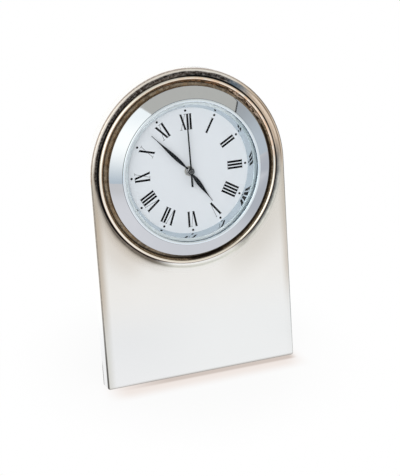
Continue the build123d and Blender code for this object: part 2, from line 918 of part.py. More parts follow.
def make_minute_wheel():
    """Wheel and pinion between the cannon pinion and the hour wheel, on the front plate's stud."""
    front = hour_level + pinion_extra
    back = minute_level - gear_thickness
    shape = wheel(minute_teeth, cannon_module, minute_phase, minute_level, minute_at)
    shape += pinion(minute_leaves, hour_module, minute_leaf_phase, hour_level, minute_at)
    shape += rod(2 * arbor_radius + hour_module, hour_level - gear_thickness, minute_level, minute_at)
    return bored(shape, 2 * arbor_radius + running_clearance, front, back, minute_at)


def make_third_wheel():
    """Wheel and pinion between the second arbor and the centre wheel."""
    shape = wheel(third_teeth, second_pinion_module, third_phase, third_level, third_at)
    shape += pinion(third_leaves, center_module, third_leaf_phase, center_level, third_at)
    front = front_plate_back + pivot_depth - running_clearance
    back = middle_plate_front - pivot_depth + running_clearance
    return shape + rod(arbor_radius, front, back, third_at)


def make_second_wheel():
    """Wheel and pinion on the long arbor that carries the second hand."""
    shape = wheel(second_teeth, second_module, second_phase, second_level, dial_axis)
    shape += pinion(second_leaves, second_pinion_module, second_leaf_phase, third_level, dial_axis)
    front = second_hand_at + hand_boss_thickness / 2
    back = rear_wall_front - pivot_depth + running_clearance
    return shape + rod(second_shaft_radius, front, back)


def make_step_wheel():
    """Wheel and pinion between the rotor and the second wheel."""
    shape = wheel(step_teeth, step_module, step_phase, step_level, step_at)
    shape += pinion(step_leaves, second_module, step_leaf_phase, second_level, step_at)
    front = middle_plate_back + pivot_depth - running_clearance
    back = rear_wall_front - pivot_depth + running_clearance
    return shape + rod(arbor_radius, front, back, step_at)


def make_rotor():
    """Rotor shaft with its pinion."""
    shape = pinion(rotor_leaves, step_module, rotor_phase, step_level, rotor_at)
    front = middle_plate_back + pivot_depth - running_clearance
    back = rear_wall_front - pivot_depth + running_clearance
    return shape + rod(rotor_shaft_radius, front, back, rotor_at)


def make_rotor_magnet():
    """Round magnet on the rotor shaft."""
    magnet = rod(magnet_radius, magnet_front, magnet_back, rotor_at)
    return bored(magnet, rotor_shaft_radius, magnet_front, magnet_back, rotor_at)


def make_setting_stem():
    """Stem with the pinion that turns the hands when the clock is set."""
    shape = pinion(setting_teeth, cannon_module, setting_phase, minute_level, setting_at)
    front = front_plate_back + pivot_depth - running_clearance
    return shape + rod(setting_shaft_radius, front, case_back - knob_gap - knob_length, setting_at)


def make_setting_knob():
    """Fluted knob on the rear end of the setting stem."""
    front = case_back - knob_gap
    back = front - knob_length
    knob = rod(knob_radius, front, back, setting_at)
    knob = fillet(knob.edges().group_by(Axis.Z)[0], knob_round)
    for flute in range(knob_flutes):
        place = polar(setting_at, knob_radius, flute * 360 / knob_flutes)
        knob -= rod(knob_flute_radius, front, back, place)
    return bored(knob, setting_shaft_radius, front, back, setting_at)


def make_battery_cover():
    """Sliding cover between the rails, with ridges for a fingertip."""
    x, y = cell_at
    left, right = x - cover_width / 2, x + cover_width / 2
    bottom, top = y - cover_height / 2, y + cover_height / 2
    cover = block(left, right, bottom, top, cover_front, cover_back)
    half = cover_width / 2 - rail_lip - cover_clearance - cover_ridge_width
    for ridge in range(cover_ridges):
        low = bottom + (1 + 2 * ridge) * cover_ridge_width
        cover += block(
            x - half, x + half, low, low + cover_ridge_width, cover_back, cover_back - cover_ridge_height
        )
    return cover


# Hands
def leaf_outline(length, half_width, widest):
    """Slim leaf along y: a narrow neck, a swell and a long needle point."""
    needle = (widest + length) / 2
    needle_half = (half_width + 2 * hand_tip_half_width) / 3
    flank = [
        (hand_neck_half_width, 0),
        (hand_neck_half_width, widest / 3),
        (half_width, widest),
        (needle_half, needle),
        (hand_tip_half_width, length),
    ]
    right = Spline(*flank[1:])
    left = Spline(*[(-x, y) for x, y in flank[1:]])
    tip = Line(flank[-1], (-hand_tip_half_width, length))
    foot = Polyline(flank[1], flank[0], (-hand_neck_half_width, 0), (-hand_neck_half_width, widest / 3))
    return make_face([right, left, tip, *foot.edges()])


def bar_outline():
    """Second hand along y: a fine tapering pointer and a tail that widens."""
    return make_face(
        Polyline(
            (-second_tail_half_width, -second_tail_length),
            (second_tail_half_width, -second_tail_length),
            (second_hand_half_width, 0),
            (second_tip_half_width, second_hand_length),
            (-second_tip_half_width, second_hand_length),
            (-second_hand_half_width, 0),
            close=True,
        )
    )


def make_hand(outline, middle, boss_radius, bore, turn):
    """Flat hand on its boss, turned clockwise from 12 o'clock."""
    blade = Pos(0, 0, middle - hand_thickness / 2) * extrude(outline, hand_thickness)
    front, back = middle + hand_boss_thickness / 2, middle - hand_boss_thickness / 2
    hand = blade + rod(boss_radius, front, back)
    return Rot(0, 0, -turn) * bored(hand, bore, front, back, dial_axis)


hour_hand_angle = (360 * hours_shown + minute_hand_angle) / 12
hour_blade = leaf_outline(hour_hand_length, hour_hand_half_width, hour_hand_widest)
minute_blade = leaf_outline(minute_hand_length, minute_hand_half_width, minute_hand_widest)

# All pieces, in the plate's frame
hinge_screws_in_board = [at_hinge(screw) for screw in make_board_screws()]
hinge_screws_in_strut = [opened(screw) for screw in make_strut_screws()]
board_leaf = at_hinge(make_board_leaf())
strut_leaf = opened(make_strut_leaf()) + at_hinge(make_stop_tab())
board = make_backing_board()
strut = opened(make_strut()) - floor_block()
for screw in hinge_screws_in_board:
    board_leaf -= screw
    board -= screw
for screw in hinge_screws_in_strut:
    strut_leaf -= screw
    strut -= screw
pin = at_hinge(pin_bar(hinge_pin_radius, -knuckle_end, knuckle_end))

pieces = {
    "front_shell": make_front_shell(),
    "backing_board": board,
    "strut": strut,
    "hinge_board_leaf": board_leaf,
    "hinge_strut_leaf": strut_leaf,
    "hinge_pin": pin,
    "hinge_board_screws": Compound(hinge_screws_in_board),
    "hinge_strut_screws": Compound(hinge_screws_in_strut),
}

insert_pieces = {
    "bezel": make_bezel(),
    "crystal": rod(glass_radius, glass_front, glass_back),
    "crystal_gasket": make_gasket(),
    "reflector_ring": make_reflector_ring(),
    "dial": make_dial(),
    "case_back": make_case_back(),
    "grip_ring": make_grip_ring(),
    "movement_front_plate": make_front_plate(),
    "movement_middle_plate": make_middle_plate(),
    "movement_rear_case": make_rear_case(),
    "movement_screws": Compound(make_movement_screws()),
    "stator": make_stator(),
    "coil_core": make_coil_core(),
    "coil": make_coil(),
    "circuit_board": make_circuit_board(),
    "circuit_chip": make_circuit_chip(),
    "resonator_can": make_resonator(),
    "button_cell": make_button_cell(),
    "contact_negative": make_contact_negative(),
    "contact_positive": make_contact_positive(),
    "hour_wheel": make_hour_wheel(),
    "cannon_pinion": make_cannon_pinion(),
    "center_wheel": make_center_wheel(),
    "minute_wheel": make_minute_wheel(),
    "third_wheel": make_third_wheel(),
    "second_wheel": make_second_wheel(),
    "step_wheel": make_step_wheel(),
    "rotor": make_rotor(),
    "rotor_magnet": make_rotor_magnet(),
    "setting_stem": make_setting_stem(),
    "setting_knob": make_setting_knob(),
    "battery_cover": make_battery_cover(),
    "hour_hand": make_hand(hour_blade, hour_hand_at, hour_boss_radius, hour_pipe_radius, hour_hand_angle),
    "minute_hand": make_hand(
        minute_blade, minute_hand_at, minute_boss_radius, cannon_radius, minute_hand_angle
    ),
    "second_hand": make_hand(
        bar_outline(), second_hand_at, second_boss_radius, second_shaft_radius, second_hand_angle
    ),
}
for name, shape in insert_pieces.items():
    pieces[name] = on_dial(shape)

# Leaned back and stood on the floor, with the origin under the middle of the whole clock
leaning = Rot(90 - lean, 0, 0)
standing = {name: leaning * shape for name, shape in pieces.items()}
boxes = [shape.bounding_box() for shape in standing.values()]
nearest = min(box.min.Y for box in boxes)
farthest = max(box.max.Y for box in boxes)
lowest = min(box.min.Z for box in boxes)
placing = Pos(0, -(nearest + farthest) / 2, -lowest)

os.makedirs("parts", exist_ok=True)
for name, shape in standing.items():
    export_step(placing * shape, f"parts/{name}.step")
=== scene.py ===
from math import atan2, cos, pi, radians, sin, tan
from typing import NamedTuple

import bmesh
import bpy
import numpy as np
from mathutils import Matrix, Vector


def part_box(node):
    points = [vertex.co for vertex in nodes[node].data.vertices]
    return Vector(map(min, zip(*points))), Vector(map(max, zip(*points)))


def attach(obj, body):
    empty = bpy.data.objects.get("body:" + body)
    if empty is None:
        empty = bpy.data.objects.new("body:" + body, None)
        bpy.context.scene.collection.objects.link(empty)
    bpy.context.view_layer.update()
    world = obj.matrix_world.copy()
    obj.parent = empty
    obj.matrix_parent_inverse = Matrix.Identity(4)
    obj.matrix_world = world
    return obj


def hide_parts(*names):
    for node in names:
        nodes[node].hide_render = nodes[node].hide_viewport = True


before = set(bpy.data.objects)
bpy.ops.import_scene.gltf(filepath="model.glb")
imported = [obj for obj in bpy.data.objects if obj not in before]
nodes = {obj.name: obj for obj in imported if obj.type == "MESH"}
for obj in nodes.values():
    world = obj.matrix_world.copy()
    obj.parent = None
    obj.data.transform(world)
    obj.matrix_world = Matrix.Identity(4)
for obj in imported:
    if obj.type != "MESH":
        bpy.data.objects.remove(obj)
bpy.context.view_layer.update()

# The clock's own frame: origin on the dial's axis at the plate's flat face, x to the
# right, y up the plate, z towards the viewer, in millimetres.
MM = 0.001
LEAN = radians(9.8)

# Plate
ARCH_RADIUS = 40.0
DIAL_HEIGHT = 82.4
SHELL_DEPTH = 6.0
SHEET = 0.7
EDGE_ROUND = 0.9
CORNER_ROUND = 1.0
REAR_LIP = 1.6
THROAT_DEPTH = 2.0
THROAT_RADIUS = 34.4
BEAD_RADIUS = 36.0
BEAD_ROUND = 0.75
BEAD_RISE = 0.1
HOLLOW_DEPTH = 0.45
HOLLOW_ROUND = 1.0
SHOULDER_ROUND = 0.8
FLAT_MARGIN = 0.08

# Strut
STRUT_OPEN = radians(27.0)

# Clock insert
BEZEL_RADIUS = 33.2
BEZEL_RIM_FRONT = 0.6
BEZEL_RIM_ROUND = 0.35
BEZEL_CROWN = 0.03
CROWN_START_SHARE = 0.08
LIP_RADIUS = 28.45
LIP_FRONT = 3.35
LIP_ROUND = 0.4
GLASS_OPENING = 27.3
GLASS_RADIUS = 27.9
GLASS_FRONT = 2.85
GLASS_BACK = 1.85
GLASS_CHAMFER = 0.15
POCKET_RADIUS = 28.0
CAN_RECESS = 30.45
CAN_FRONT = -0.6
REFLECTOR_FRONT = 1.6
REFLECTOR_OUTER = 27.95
REFLECTOR_TILT = 24.6
REFLECTOR_ROUND = 0.35
DIAL_OPENING = 24.7
DIAL_FRONT = -1.4

# Collars on the hands' bosses
HOUR_BOSS_FRONT = -0.3
HOUR_COLLAR_RADIUS = 1.52
HOUR_COLLAR_HALF = 0.2
MINUTE_BOSS_FRONT = 0.4
MINUTE_COLLAR_RADIUS = 1.22
MINUTE_COLLAR_HALF = 0.18
SECOND_BOSS_FRONT = 1.15
SECOND_COLLAR_RADIUS = 0.72
SECOND_COLLAR_HALF = 0.18
COLLAR_RISE = 0.12
COLLAR_SINK = 0.03

# Print on the dial: numerals with their letters' pitch, and half the spread of strokes and serifs
PRINT_THICKNESS = 0.02
NUMERAL_FOOT = 16.1
NUMERAL_TOP = 22.3
NUMERAL_HEIGHT = NUMERAL_TOP - NUMERAL_FOOT
NUMERALS = ["I", "II", "III", "IIII", "V", "VI", "VII", "VIII", "IX", "X", "XI", "XII"]
LETTER_PITCH = {"I": 1.22, "V": 2.75, "X": 2.6}
STROKE = 0.82
HAIRLINE = 0.13
SERIF = 0.58
V_LEG = 1.02
V_THIN_FOOT = 0.205
V_THIN_SERIF = 0.29
X_THICK_LEG = 0.8772
X_THIN_LEG = 0.918
X_SERIF_LEG = 0.8976
X_SERIF = 0.522
HOUR_ANGLE = 30.0
DOT_CENTRE = 23.6
DOT_RADIUS = 0.46

# Angles in degrees
QUARTER_TURN = 90.0
HALF_TURN = 180.0
FULL_TURN = 360.0

# Fineness of the meshes
SAME_PLACE = 1e-7
SHARP_TURN = radians(35.0)
RING_SECTORS = 720
GLASS_SECTORS = 240
COLLAR_SECTORS = 96
TABLE_SECTORS = 128
ARCH_POINTS = 301
SIDE_POINTS = 70
BASE_POINTS = 100
CORNER_POINTS = 15
EDGE_POINTS = 10
SHOULDER_POINTS = 10
HOLLOW_POINTS = 18
BEAD_POINTS = 22
FLANK_POINTS = 8
CROWN_POINTS = 20
RIM_POINTS = 7
LIP_POINTS = 9
CONE_POINTS = 12
ROLL_POINTS = 14
DOT_POINTS = 24
COLLAR_POINTS = 11

# Place of the clock in the shared frame, from the glass
CRYSTAL_MIDDLE = (GLASS_FRONT + GLASS_BACK) / 2
UP = np.array([0.0, sin(LEAN), cos(LEAN)])
OUT = np.array([0.0, -cos(LEAN), sin(LEAN)])
RIGHT = np.array([1.0, 0.0, 0.0])
crystal_low, crystal_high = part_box("crystal")
DIAL_CENTRE = np.array((crystal_low + crystal_high) / 2) - CRYSTAL_MIDDLE * MM * OUT


def to_shared(points):
    """Points of the clock's frame, in mm, carried to the shared frame in metres."""
    points = np.asarray(points, float) * MM
    x, y, z = points[..., 0:1], points[..., 1:2], points[..., 2:3]
    return DIAL_CENTRE + x * RIGHT + y * UP + z * OUT


def fan_volume(first, second, third):
    """Sum over triangles of the first corner times the cross product of the other two."""
    return np.einsum("ij,ij->i", first, np.cross(second, third)).sum()


def signed_volume(points, faces):
    """Sum over the faces of the signed volume of the fan from the origin."""
    corner = points[faces]
    volume = fan_volume(corner[:, 0], corner[:, 1], corner[:, 2])
    if faces.shape[1] == 3:
        return volume
    return volume + fan_volume(corner[:, 0], corner[:, 2], corner[:, 3])


def merge_points(mesh):
    """Points that lie on one another become one, and the faces between them go."""
    work = bmesh.new()
    work.from_mesh(mesh)
    bmesh.ops.remove_doubles(work, verts=work.verts, dist=SAME_PLACE)
    work.to_mesh(mesh)
    work.free()


def in_scene(name, data):
    """Object of a name in the scene, from its mesh, lamp or camera."""
    made = bpy.data.objects.new(name, data)
    bpy.context.scene.collection.objects.link(made)
    return made


def solid(name, points, faces):
    """Mesh object from closed faces in the shared frame, turned so that the faces point outwards."""
    points = np.asarray(points, float)
    total = sum(signed_volume(points - points.mean(axis=0), part) for part in faces)
    if total < 0:
        faces = [part[:, ::-1] for part in faces]
    mesh = bpy.data.meshes.new(name)
    mesh.from_pydata(points.tolist(), [], [face for part in faces for face in part.tolist()])
    merge_points(mesh)
    mesh.shade_smooth()
    mesh.set_sharp_from_angle(angle=SHARP_TURN)
    return in_scene(name, mesh)


def grid_faces(rows, columns):
    """Quads of a grid of points that closes on itself both ways."""
    index = np.arange(rows * columns).reshape(rows, columns)
    beside = np.roll(index, -1, axis=0)
    corners = (index, beside, np.roll(beside, -1, axis=1), np.roll(index, -1, axis=1))
    return np.stack([corner.ravel() for corner in corners], axis=1)


def ring(name, section, sectors):
    """Section (radius, z) carried round the dial's axis: (r cos t, r sin t, z) for t over a turn."""
    section = np.asarray(section, float)
    turn = np.linspace(0, 2 * pi, sectors, endpoint=False)[:, None]
    radius, height = section[None, :, 0], section[None, :, 1]
    points = np.stack([radius * np.cos(turn), radius * np.sin(turn), height + 0 * turn], axis=-1)
    return solid(name, to_shared(points.reshape(-1, 3)), [grid_faces(sectors, len(section))])


def arc(centre, radius, start, end, steps):
    """Points on a circle from one angle to another, in degrees from the first axis."""
    turn = np.radians(np.linspace(start, end, steps))
    return np.stack([centre[0] + radius * np.cos(turn), centre[1] + radius * np.sin(turn)], axis=1)


def rounded_corner(before, corner, after, radius, steps):
    """Arc of a radius that touches both runs of a corner: its centre lies on the corner's bisector."""
    before, corner, after = (np.asarray(point, float) for point in (before, corner, after))
    to_before = (before - corner) / np.linalg.norm(before - corner)
    to_after = (after - corner) / np.linalg.norm(after - corner)
    half = np.arccos(np.clip(to_before @ to_after, -1, 1)) / 2
    middle = to_before + to_after
    centre = corner + middle / np.linalg.norm(middle) * radius / np.sin(half)
    reach = radius / np.tan(half)
    first = corner + to_before * reach - centre
    last = corner + to_after * reach - centre
    share = np.linspace(0, 1, steps)[:, None]
    sweep = np.arccos(np.clip(first @ last / radius**2, -1, 1))
    return centre + (np.sin((1 - share) * sweep) * first + np.sin(share * sweep) * last) / np.sin(sweep)


# Front shell
def plate_outline():
    """Plate's outline from the right end of the arch anticlockwise, as straight runs, two corner
    arcs and a half circle, with the outward normal at each point."""
    half, low = ARCH_RADIUS, -DIAL_HEIGHT
    turn = np.linspace(0, pi, ARCH_POINTS)
    arch = np.stack([half * np.cos(turn), half * np.sin(turn)], axis=1)
    arch_normal = arch / half
    side_turn = np.linspace(0, atan2(DIAL_HEIGHT - CORNER_ROUND, half), SIDE_POINTS)[1:-1]
    side_y = -half * np.tan(side_turn)
    left = np.stack([0 * side_y - half, side_y], axis=1)
    left_normal = np.tile([-1.0, 0.0], (len(left), 1))
    corner_normal = arc((0, 0), 1, HALF_TURN, HALF_TURN + QUARTER_TURN, CORNER_POINTS)
    corner = corner_normal * CORNER_ROUND + (CORNER_ROUND - half, low + CORNER_ROUND)
    base_turn = np.linspace(-1, 1, BASE_POINTS)[1:-1] * atan2(half - CORNER_ROUND, DIAL_HEIGHT)
    base_x = DIAL_HEIGHT * np.tan(base_turn)
    base = np.stack([base_x, 0 * base_x + low], axis=1)
    base_normal = np.tile([0.0, -1.0], (len(base), 1))
    mirror = np.array([-1.0, 1.0])
    places = [arch, left, corner, base, corner[::-1] * mirror, left[::-1] * mirror]
    normals = [arch_normal, left_normal, corner_normal, base_normal]
    normals += [corner_normal[::-1] * mirror, left_normal[::-1] * mirror]
    return np.concatenate(places), np.concatenate(normals)


def inset_outline(places, normals, inset):
    """Outline moved inwards along its normals; past the corner arcs' radius, the corners are square."""
    moved = places - normals * inset
    moved[:, 0] = np.clip(moved[:, 0], inset - ARCH_RADIUS, ARCH_RADIUS - inset)
    moved[:, 1] = np.maximum(moved[:, 1], inset - DIAL_HEIGHT)
    return moved


def next_centre(centre, height, reach):
    """Centre of the next round of a section, further out, at a height and a distance from this one."""
    return np.array([centre[0] + np.sqrt(reach**2 - (height - centre[1]) ** 2), height])


def slope(start, end):
    """Angle of the line from one point of a section to another, in degrees."""
    return np.degrees(np.arctan2(end[1] - start[1], end[0] - start[0]))


def bead_section():
    """Shoulder, hollow, bead and flared throat round the opening, from the flat face inwards: three
    arcs that touch one another, then a straight flank, then the back of the sheet."""
    bead = np.array([BEAD_RADIUS, BEAD_RISE - BEAD_ROUND])
    hollow = next_centre(bead, HOLLOW_ROUND - HOLLOW_DEPTH, BEAD_ROUND + HOLLOW_ROUND)
    shoulder = next_centre(hollow, -SHOULDER_ROUND, HOLLOW_ROUND + SHOULDER_ROUND)
    outer = slope(shoulder, hollow)
    inner = slope(bead, hollow)
    share = np.linspace(0, 1, FLANK_POINTS)[1:, None]
    start = np.array([BEAD_RADIUS - BEAD_ROUND, bead[1]])
    end = np.array([THROAT_RADIUS, -THROAT_DEPTH])
    return np.concatenate(
        [
            [[shoulder[0] + FLAT_MARGIN, 0]],
            arc(shoulder, SHOULDER_ROUND, QUARTER_TURN, outer, SHOULDER_POINTS),
            arc(hollow, HOLLOW_ROUND, outer + HALF_TURN, inner + HALF_TURN, HOLLOW_POINTS)[1:],
            arc(bead, BEAD_ROUND, inner, HALF_TURN, BEAD_POINTS)[1:],
            start + share * (end - start),
            [[THROAT_RADIUS + SHEET, -THROAT_DEPTH]],
            [[hollow[0], -HOLLOW_DEPTH - SHEET], [shoulder[0], -SHEET]],
        ]
    )


def front_shell():
    """One closed grid: along the outline, and across from the flat face over the edge, side, rear lip
    and inside to the bead's ring and back to the flat face."""
    places, normals = plate_outline()
    across = np.concatenate(
        [
            [[EDGE_ROUND + FLAT_MARGIN, 0]],
            arc((EDGE_ROUND, -EDGE_ROUND), EDGE_ROUND, QUARTER_TURN, HALF_TURN, EDGE_POINTS),
            [[0, -SHELL_DEPTH / 2], [0, -SHELL_DEPTH]],
            [[SHEET + REAR_LIP, -SHELL_DEPTH], [SHEET + REAR_LIP, SHEET - SHELL_DEPTH]],
            [[SHEET, SHEET - SHELL_DEPTH], [SHEET, -SHEET]],
        ]
    )
    bearing = np.arctan2(places[:, 1], places[:, 0])
    columns = []
    for inset, height in across:
        moved = inset_outline(places, normals, inset)
        columns.append(np.column_stack([moved, np.full(len(moved), height)]))
    for radius, height in bead_section()[::-1]:
        circle = [radius * np.cos(bearing), radius * np.sin(bearing), np.full(len(bearing), height)]
        columns.append(np.column_stack(circle))
    grid = np.stack(columns, axis=1)
    return solid("plate_shell", to_shared(grid.reshape(-1, 3)), [grid_faces(*grid.shape[:2])])


# Clock insert
def bezel_ring():
    """Closed section of the bezel: slightly crowned cone, raised round lip, glass seat, can recess. The
    crown is a parabola over the cone's straight line."""
    rim = np.array([BEZEL_RADIUS, BEZEL_RIM_FRONT])
    cone_end = np.array([LIP_RADIUS, GLASS_FRONT])
    lip = (LIP_RADIUS, LIP_FRONT)
    lip_edge = (GLASS_OPENING, LIP_FRONT)
    seat = (GLASS_OPENING, GLASS_FRONT)
    slant = cone_end - rim
    out = np.array([slant[1], -slant[0]]) / np.linalg.norm(slant)
    share = np.linspace(CROWN_START_SHARE, 1, CROWN_POINTS)[:, None]
    cone = rim + share * slant + 4 * BEZEL_CROWN * share * (1 - share) * out
    base = (BEZEL_RADIUS, -THROAT_DEPTH)
    section = np.concatenate(
        [
            [base],
            rounded_corner(base, rim, cone[0], BEZEL_RIM_ROUND, RIM_POINTS),
            cone[1:],
            rounded_corner(cone_end, lip, lip_edge, LIP_ROUND, LIP_POINTS),
            rounded_corner(lip, lip_edge, seat, LIP_ROUND, LIP_POINTS),
            [seat, [POCKET_RADIUS, GLASS_FRONT]],
            [[POCKET_RADIUS, CAN_FRONT], [CAN_RECESS, CAN_FRONT], [CAN_RECESS, -THROAT_DEPTH]],
        ]
    )
    return ring("bezel_ring", section, RING_SECTORS)


def reflector_cone():
    """Section of the reflector ring: a steep mirror cone from the dial, rolled over at the top by an
    arc that is tangent to the cone and to the flat top."""
    tilt = radians(REFLECTOR_TILT)
    roll_start = REFLECTOR_FRONT - REFLECTOR_ROUND * (1 - sin(tilt))
    start = np.array([DIAL_OPENING + (roll_start - DIAL_FRONT) * tan(tilt), roll_start])
    centre = (start[0] + REFLECTOR_ROUND * cos(tilt), REFLECTOR_FRONT - REFLECTOR_ROUND)
    foot = np.array([DIAL_OPENING, DIAL_FRONT])
    share = np.linspace(0, 1, CONE_POINTS)[:, None]
    cone = foot + share * (start - foot)
    roll = arc(centre, REFLECTOR_ROUND, HALF_TURN - REFLECTOR_TILT, QUARTER_TURN, ROLL_POINTS)
    outside = [[REFLECTOR_OUTER, REFLECTOR_FRONT], [REFLECTOR_OUTER, DIAL_FRONT]]
    return ring("reflector_cone", np.concatenate([cone[:-1], roll, outside]), RING_SECTORS)


def watch_glass():
    """Flat glass with chamfered edges: circles of points from the front face to the back face, and a
    fan to the middle of each face."""
    front, back, rim = GLASS_FRONT, GLASS_BACK, GLASS_RADIUS
    inner = rim - GLASS_CHAMFER
    section = [[inner, front], [rim, front - GLASS_CHAMFER], [rim, back + GLASS_CHAMFER], [inner, back]]
    turn = np.linspace(0, 2 * pi, GLASS_SECTORS, endpoint=False)
    circles = [np.column_stack([r * np.cos(turn), r * np.sin(turn), 0 * turn + z]) for r, z in section]
    points = np.concatenate([*circles, [[0, 0, front], [0, 0, back]]])
    index = np.arange(GLASS_SECTORS)
    beside = np.roll(index, -1)
    wall = np.stack([index, beside, GLASS_SECTORS + beside, GLASS_SECTORS + index], axis=1)
    last = (len(section) - 1) * GLASS_SECTORS
    walls = [level + wall for level in range(0, last, GLASS_SECTORS)]
    front_middle = last + GLASS_SECTORS
    front_fan = np.stack([beside, index, 0 * index + front_middle], axis=1)
    back_fan = np.stack([last + index, last + beside, 0 * index + front_middle + 1], axis=1)
    fans = np.concatenate([front_fan, back_fan])
    return solid("watch_glass", to_shared(points), [np.concatenate(walls), fans])


# Print on the dial
def printed(name, outlines):
    """Flat closed prisms of the print's thickness on the dial, one for each convex outline."""
    points, faces, start = [], [], 0
    for outline in outlines:
        outline = np.asarray(outline, float)
        count = len(outline)
        for height in (DIAL_FRONT, DIAL_FRONT + PRINT_THICKNESS):
            points.append(np.column_stack([outline, np.full(count, height)]))
        index = np.arange(count)
        beside = np.roll(index, -1)
        faces += [(start + index[::-1]).tolist(), (start + count + index).tolist()]
        walls = np.stack([index, beside, beside + count, index + count], axis=1) + start
        faces += walls.tolist()
        start += 2 * count
    mesh = bpy.data.meshes.new(name)
    mesh.from_pydata(to_shared(np.concatenate(points)).tolist(), [], faces)
    return in_scene(name, mesh)


def bar(foot, top, width):
    """Slanting stroke of a width across, from a place on the foot line to one on the top line."""
    half = width / 2
    return [[foot - half, 0], [foot + half, 0], [top + half, NUMERAL_HEIGHT], [top - half, NUMERAL_HEIGHT]]


def serif(middle, height, half):
    """Hairline across a stroke's end, within the numeral's height."""
    low = min(height, NUMERAL_HEIGHT - HAIRLINE)
    high = low + HAIRLINE
    return [[middle - half, low], [middle + half, low], [middle + half, high], [middle - half, high]]


def letter(kind, middle):
    """Strokes of one numeral letter about its middle: thick down-strokes and hairline up-strokes."""
    if kind == "I":
        ends = [serif(middle, level, SERIF) for level in (0, NUMERAL_HEIGHT)]
        return [bar(middle, middle, STROKE), *ends]
    if kind == "V":
        thick = bar(middle, middle - V_LEG, STROKE)
        thin = bar(middle + V_THIN_FOOT, middle + V_LEG, HAIRLINE)
        thick_end = serif(middle - V_LEG, NUMERAL_HEIGHT, SERIF)
        return [thick, thin, thick_end, serif(middle + V_LEG, NUMERAL_HEIGHT, V_THIN_SERIF)]
    thick = bar(middle + X_THICK_LEG, middle - X_THICK_LEG, STROKE)
    thin = bar(middle - X_THIN_LEG, middle + X_THIN_LEG, HAIRLINE)
    ends = []
    for across in (-X_SERIF_LEG, X_SERIF_LEG):
        ends += [serif(middle + across, level, X_SERIF) for level in (0, NUMERAL_HEIGHT)]
    return [thick, thin, *ends]


def turned_to_hour(outline, hour):
    """Outline drawn upright at 12, with y from the foot line outwards, turned clockwise to its hour."""
    turn = radians(HOUR_ANGLE * hour)
    across, out = np.asarray(outline, float).T
    out = out + NUMERAL_FOOT
    return np.stack([across * cos(turn) + out * sin(turn), out * cos(turn) - across * sin(turn)], axis=1)


def numerals():
    """Twelve numerals with their feet to the centre."""
    outlines = []
    for hour, word in enumerate(NUMERALS, 1):
        place = -sum(LETTER_PITCH[kind] for kind in word) / 2
        for kind in word:
            middle = place + LETTER_PITCH[kind] / 2
            place += LETTER_PITCH[kind]
            outlines += [turned_to_hour(outline, hour) for outline in letter(kind, middle)]
    return printed("dial_numerals", outlines)


def hour_dots():
    """Round dot outside each numeral."""
    last = FULL_TURN - FULL_TURN / DOT_POINTS
    outlines = []
    for hour in range(len(NUMERALS)):
        turn = radians(HOUR_ANGLE * hour)
        centre = (DOT_CENTRE * sin(turn), DOT_CENTRE * cos(turn))
        outlines.append(arc(centre, DOT_RADIUS, 0, last, DOT_POINTS))
    return printed("dial_dots", outlines)


# Hands
def boss_collar(name, middle, half, front):
    """Low round ring on a hand's boss: an ellipse's upper half, a little sunk into the boss."""
    half_circle = arc((0, 0), 1, 0, HALF_TURN, COLLAR_POINTS)
    section = half_circle * (half, COLLAR_RISE) + (middle, front - COLLAR_SINK)
    return ring(name, section, COLLAR_SECTORS)


# Finishes: a tone is red, green and blue; the mix node carries tones on its own sockets
OPAQUE = 1.0
WHITE = (1.0, 1.0, 1.0)
NOISE_RANGE = (0.2, 0.8)
MIX_FIRST = 6
MIX_SECOND = 7
MIX_RESULT = 2


class Side(NamedTuple):
    """Direction on the dial, clockwise from 12, and how far from it a patch has gone and is full, in
    degrees."""

    middle: float
    gone: float
    full: float


class Haze(NamedTuple):
    """Tint on one side of the opening, which fades over a span of radii from a share to nought."""

    side: Side
    span: tuple
    share: float
    tone: tuple


def shifted(start, *offsets):
    """Places at offsets from a start."""
    return tuple(start + offset for offset in offsets)


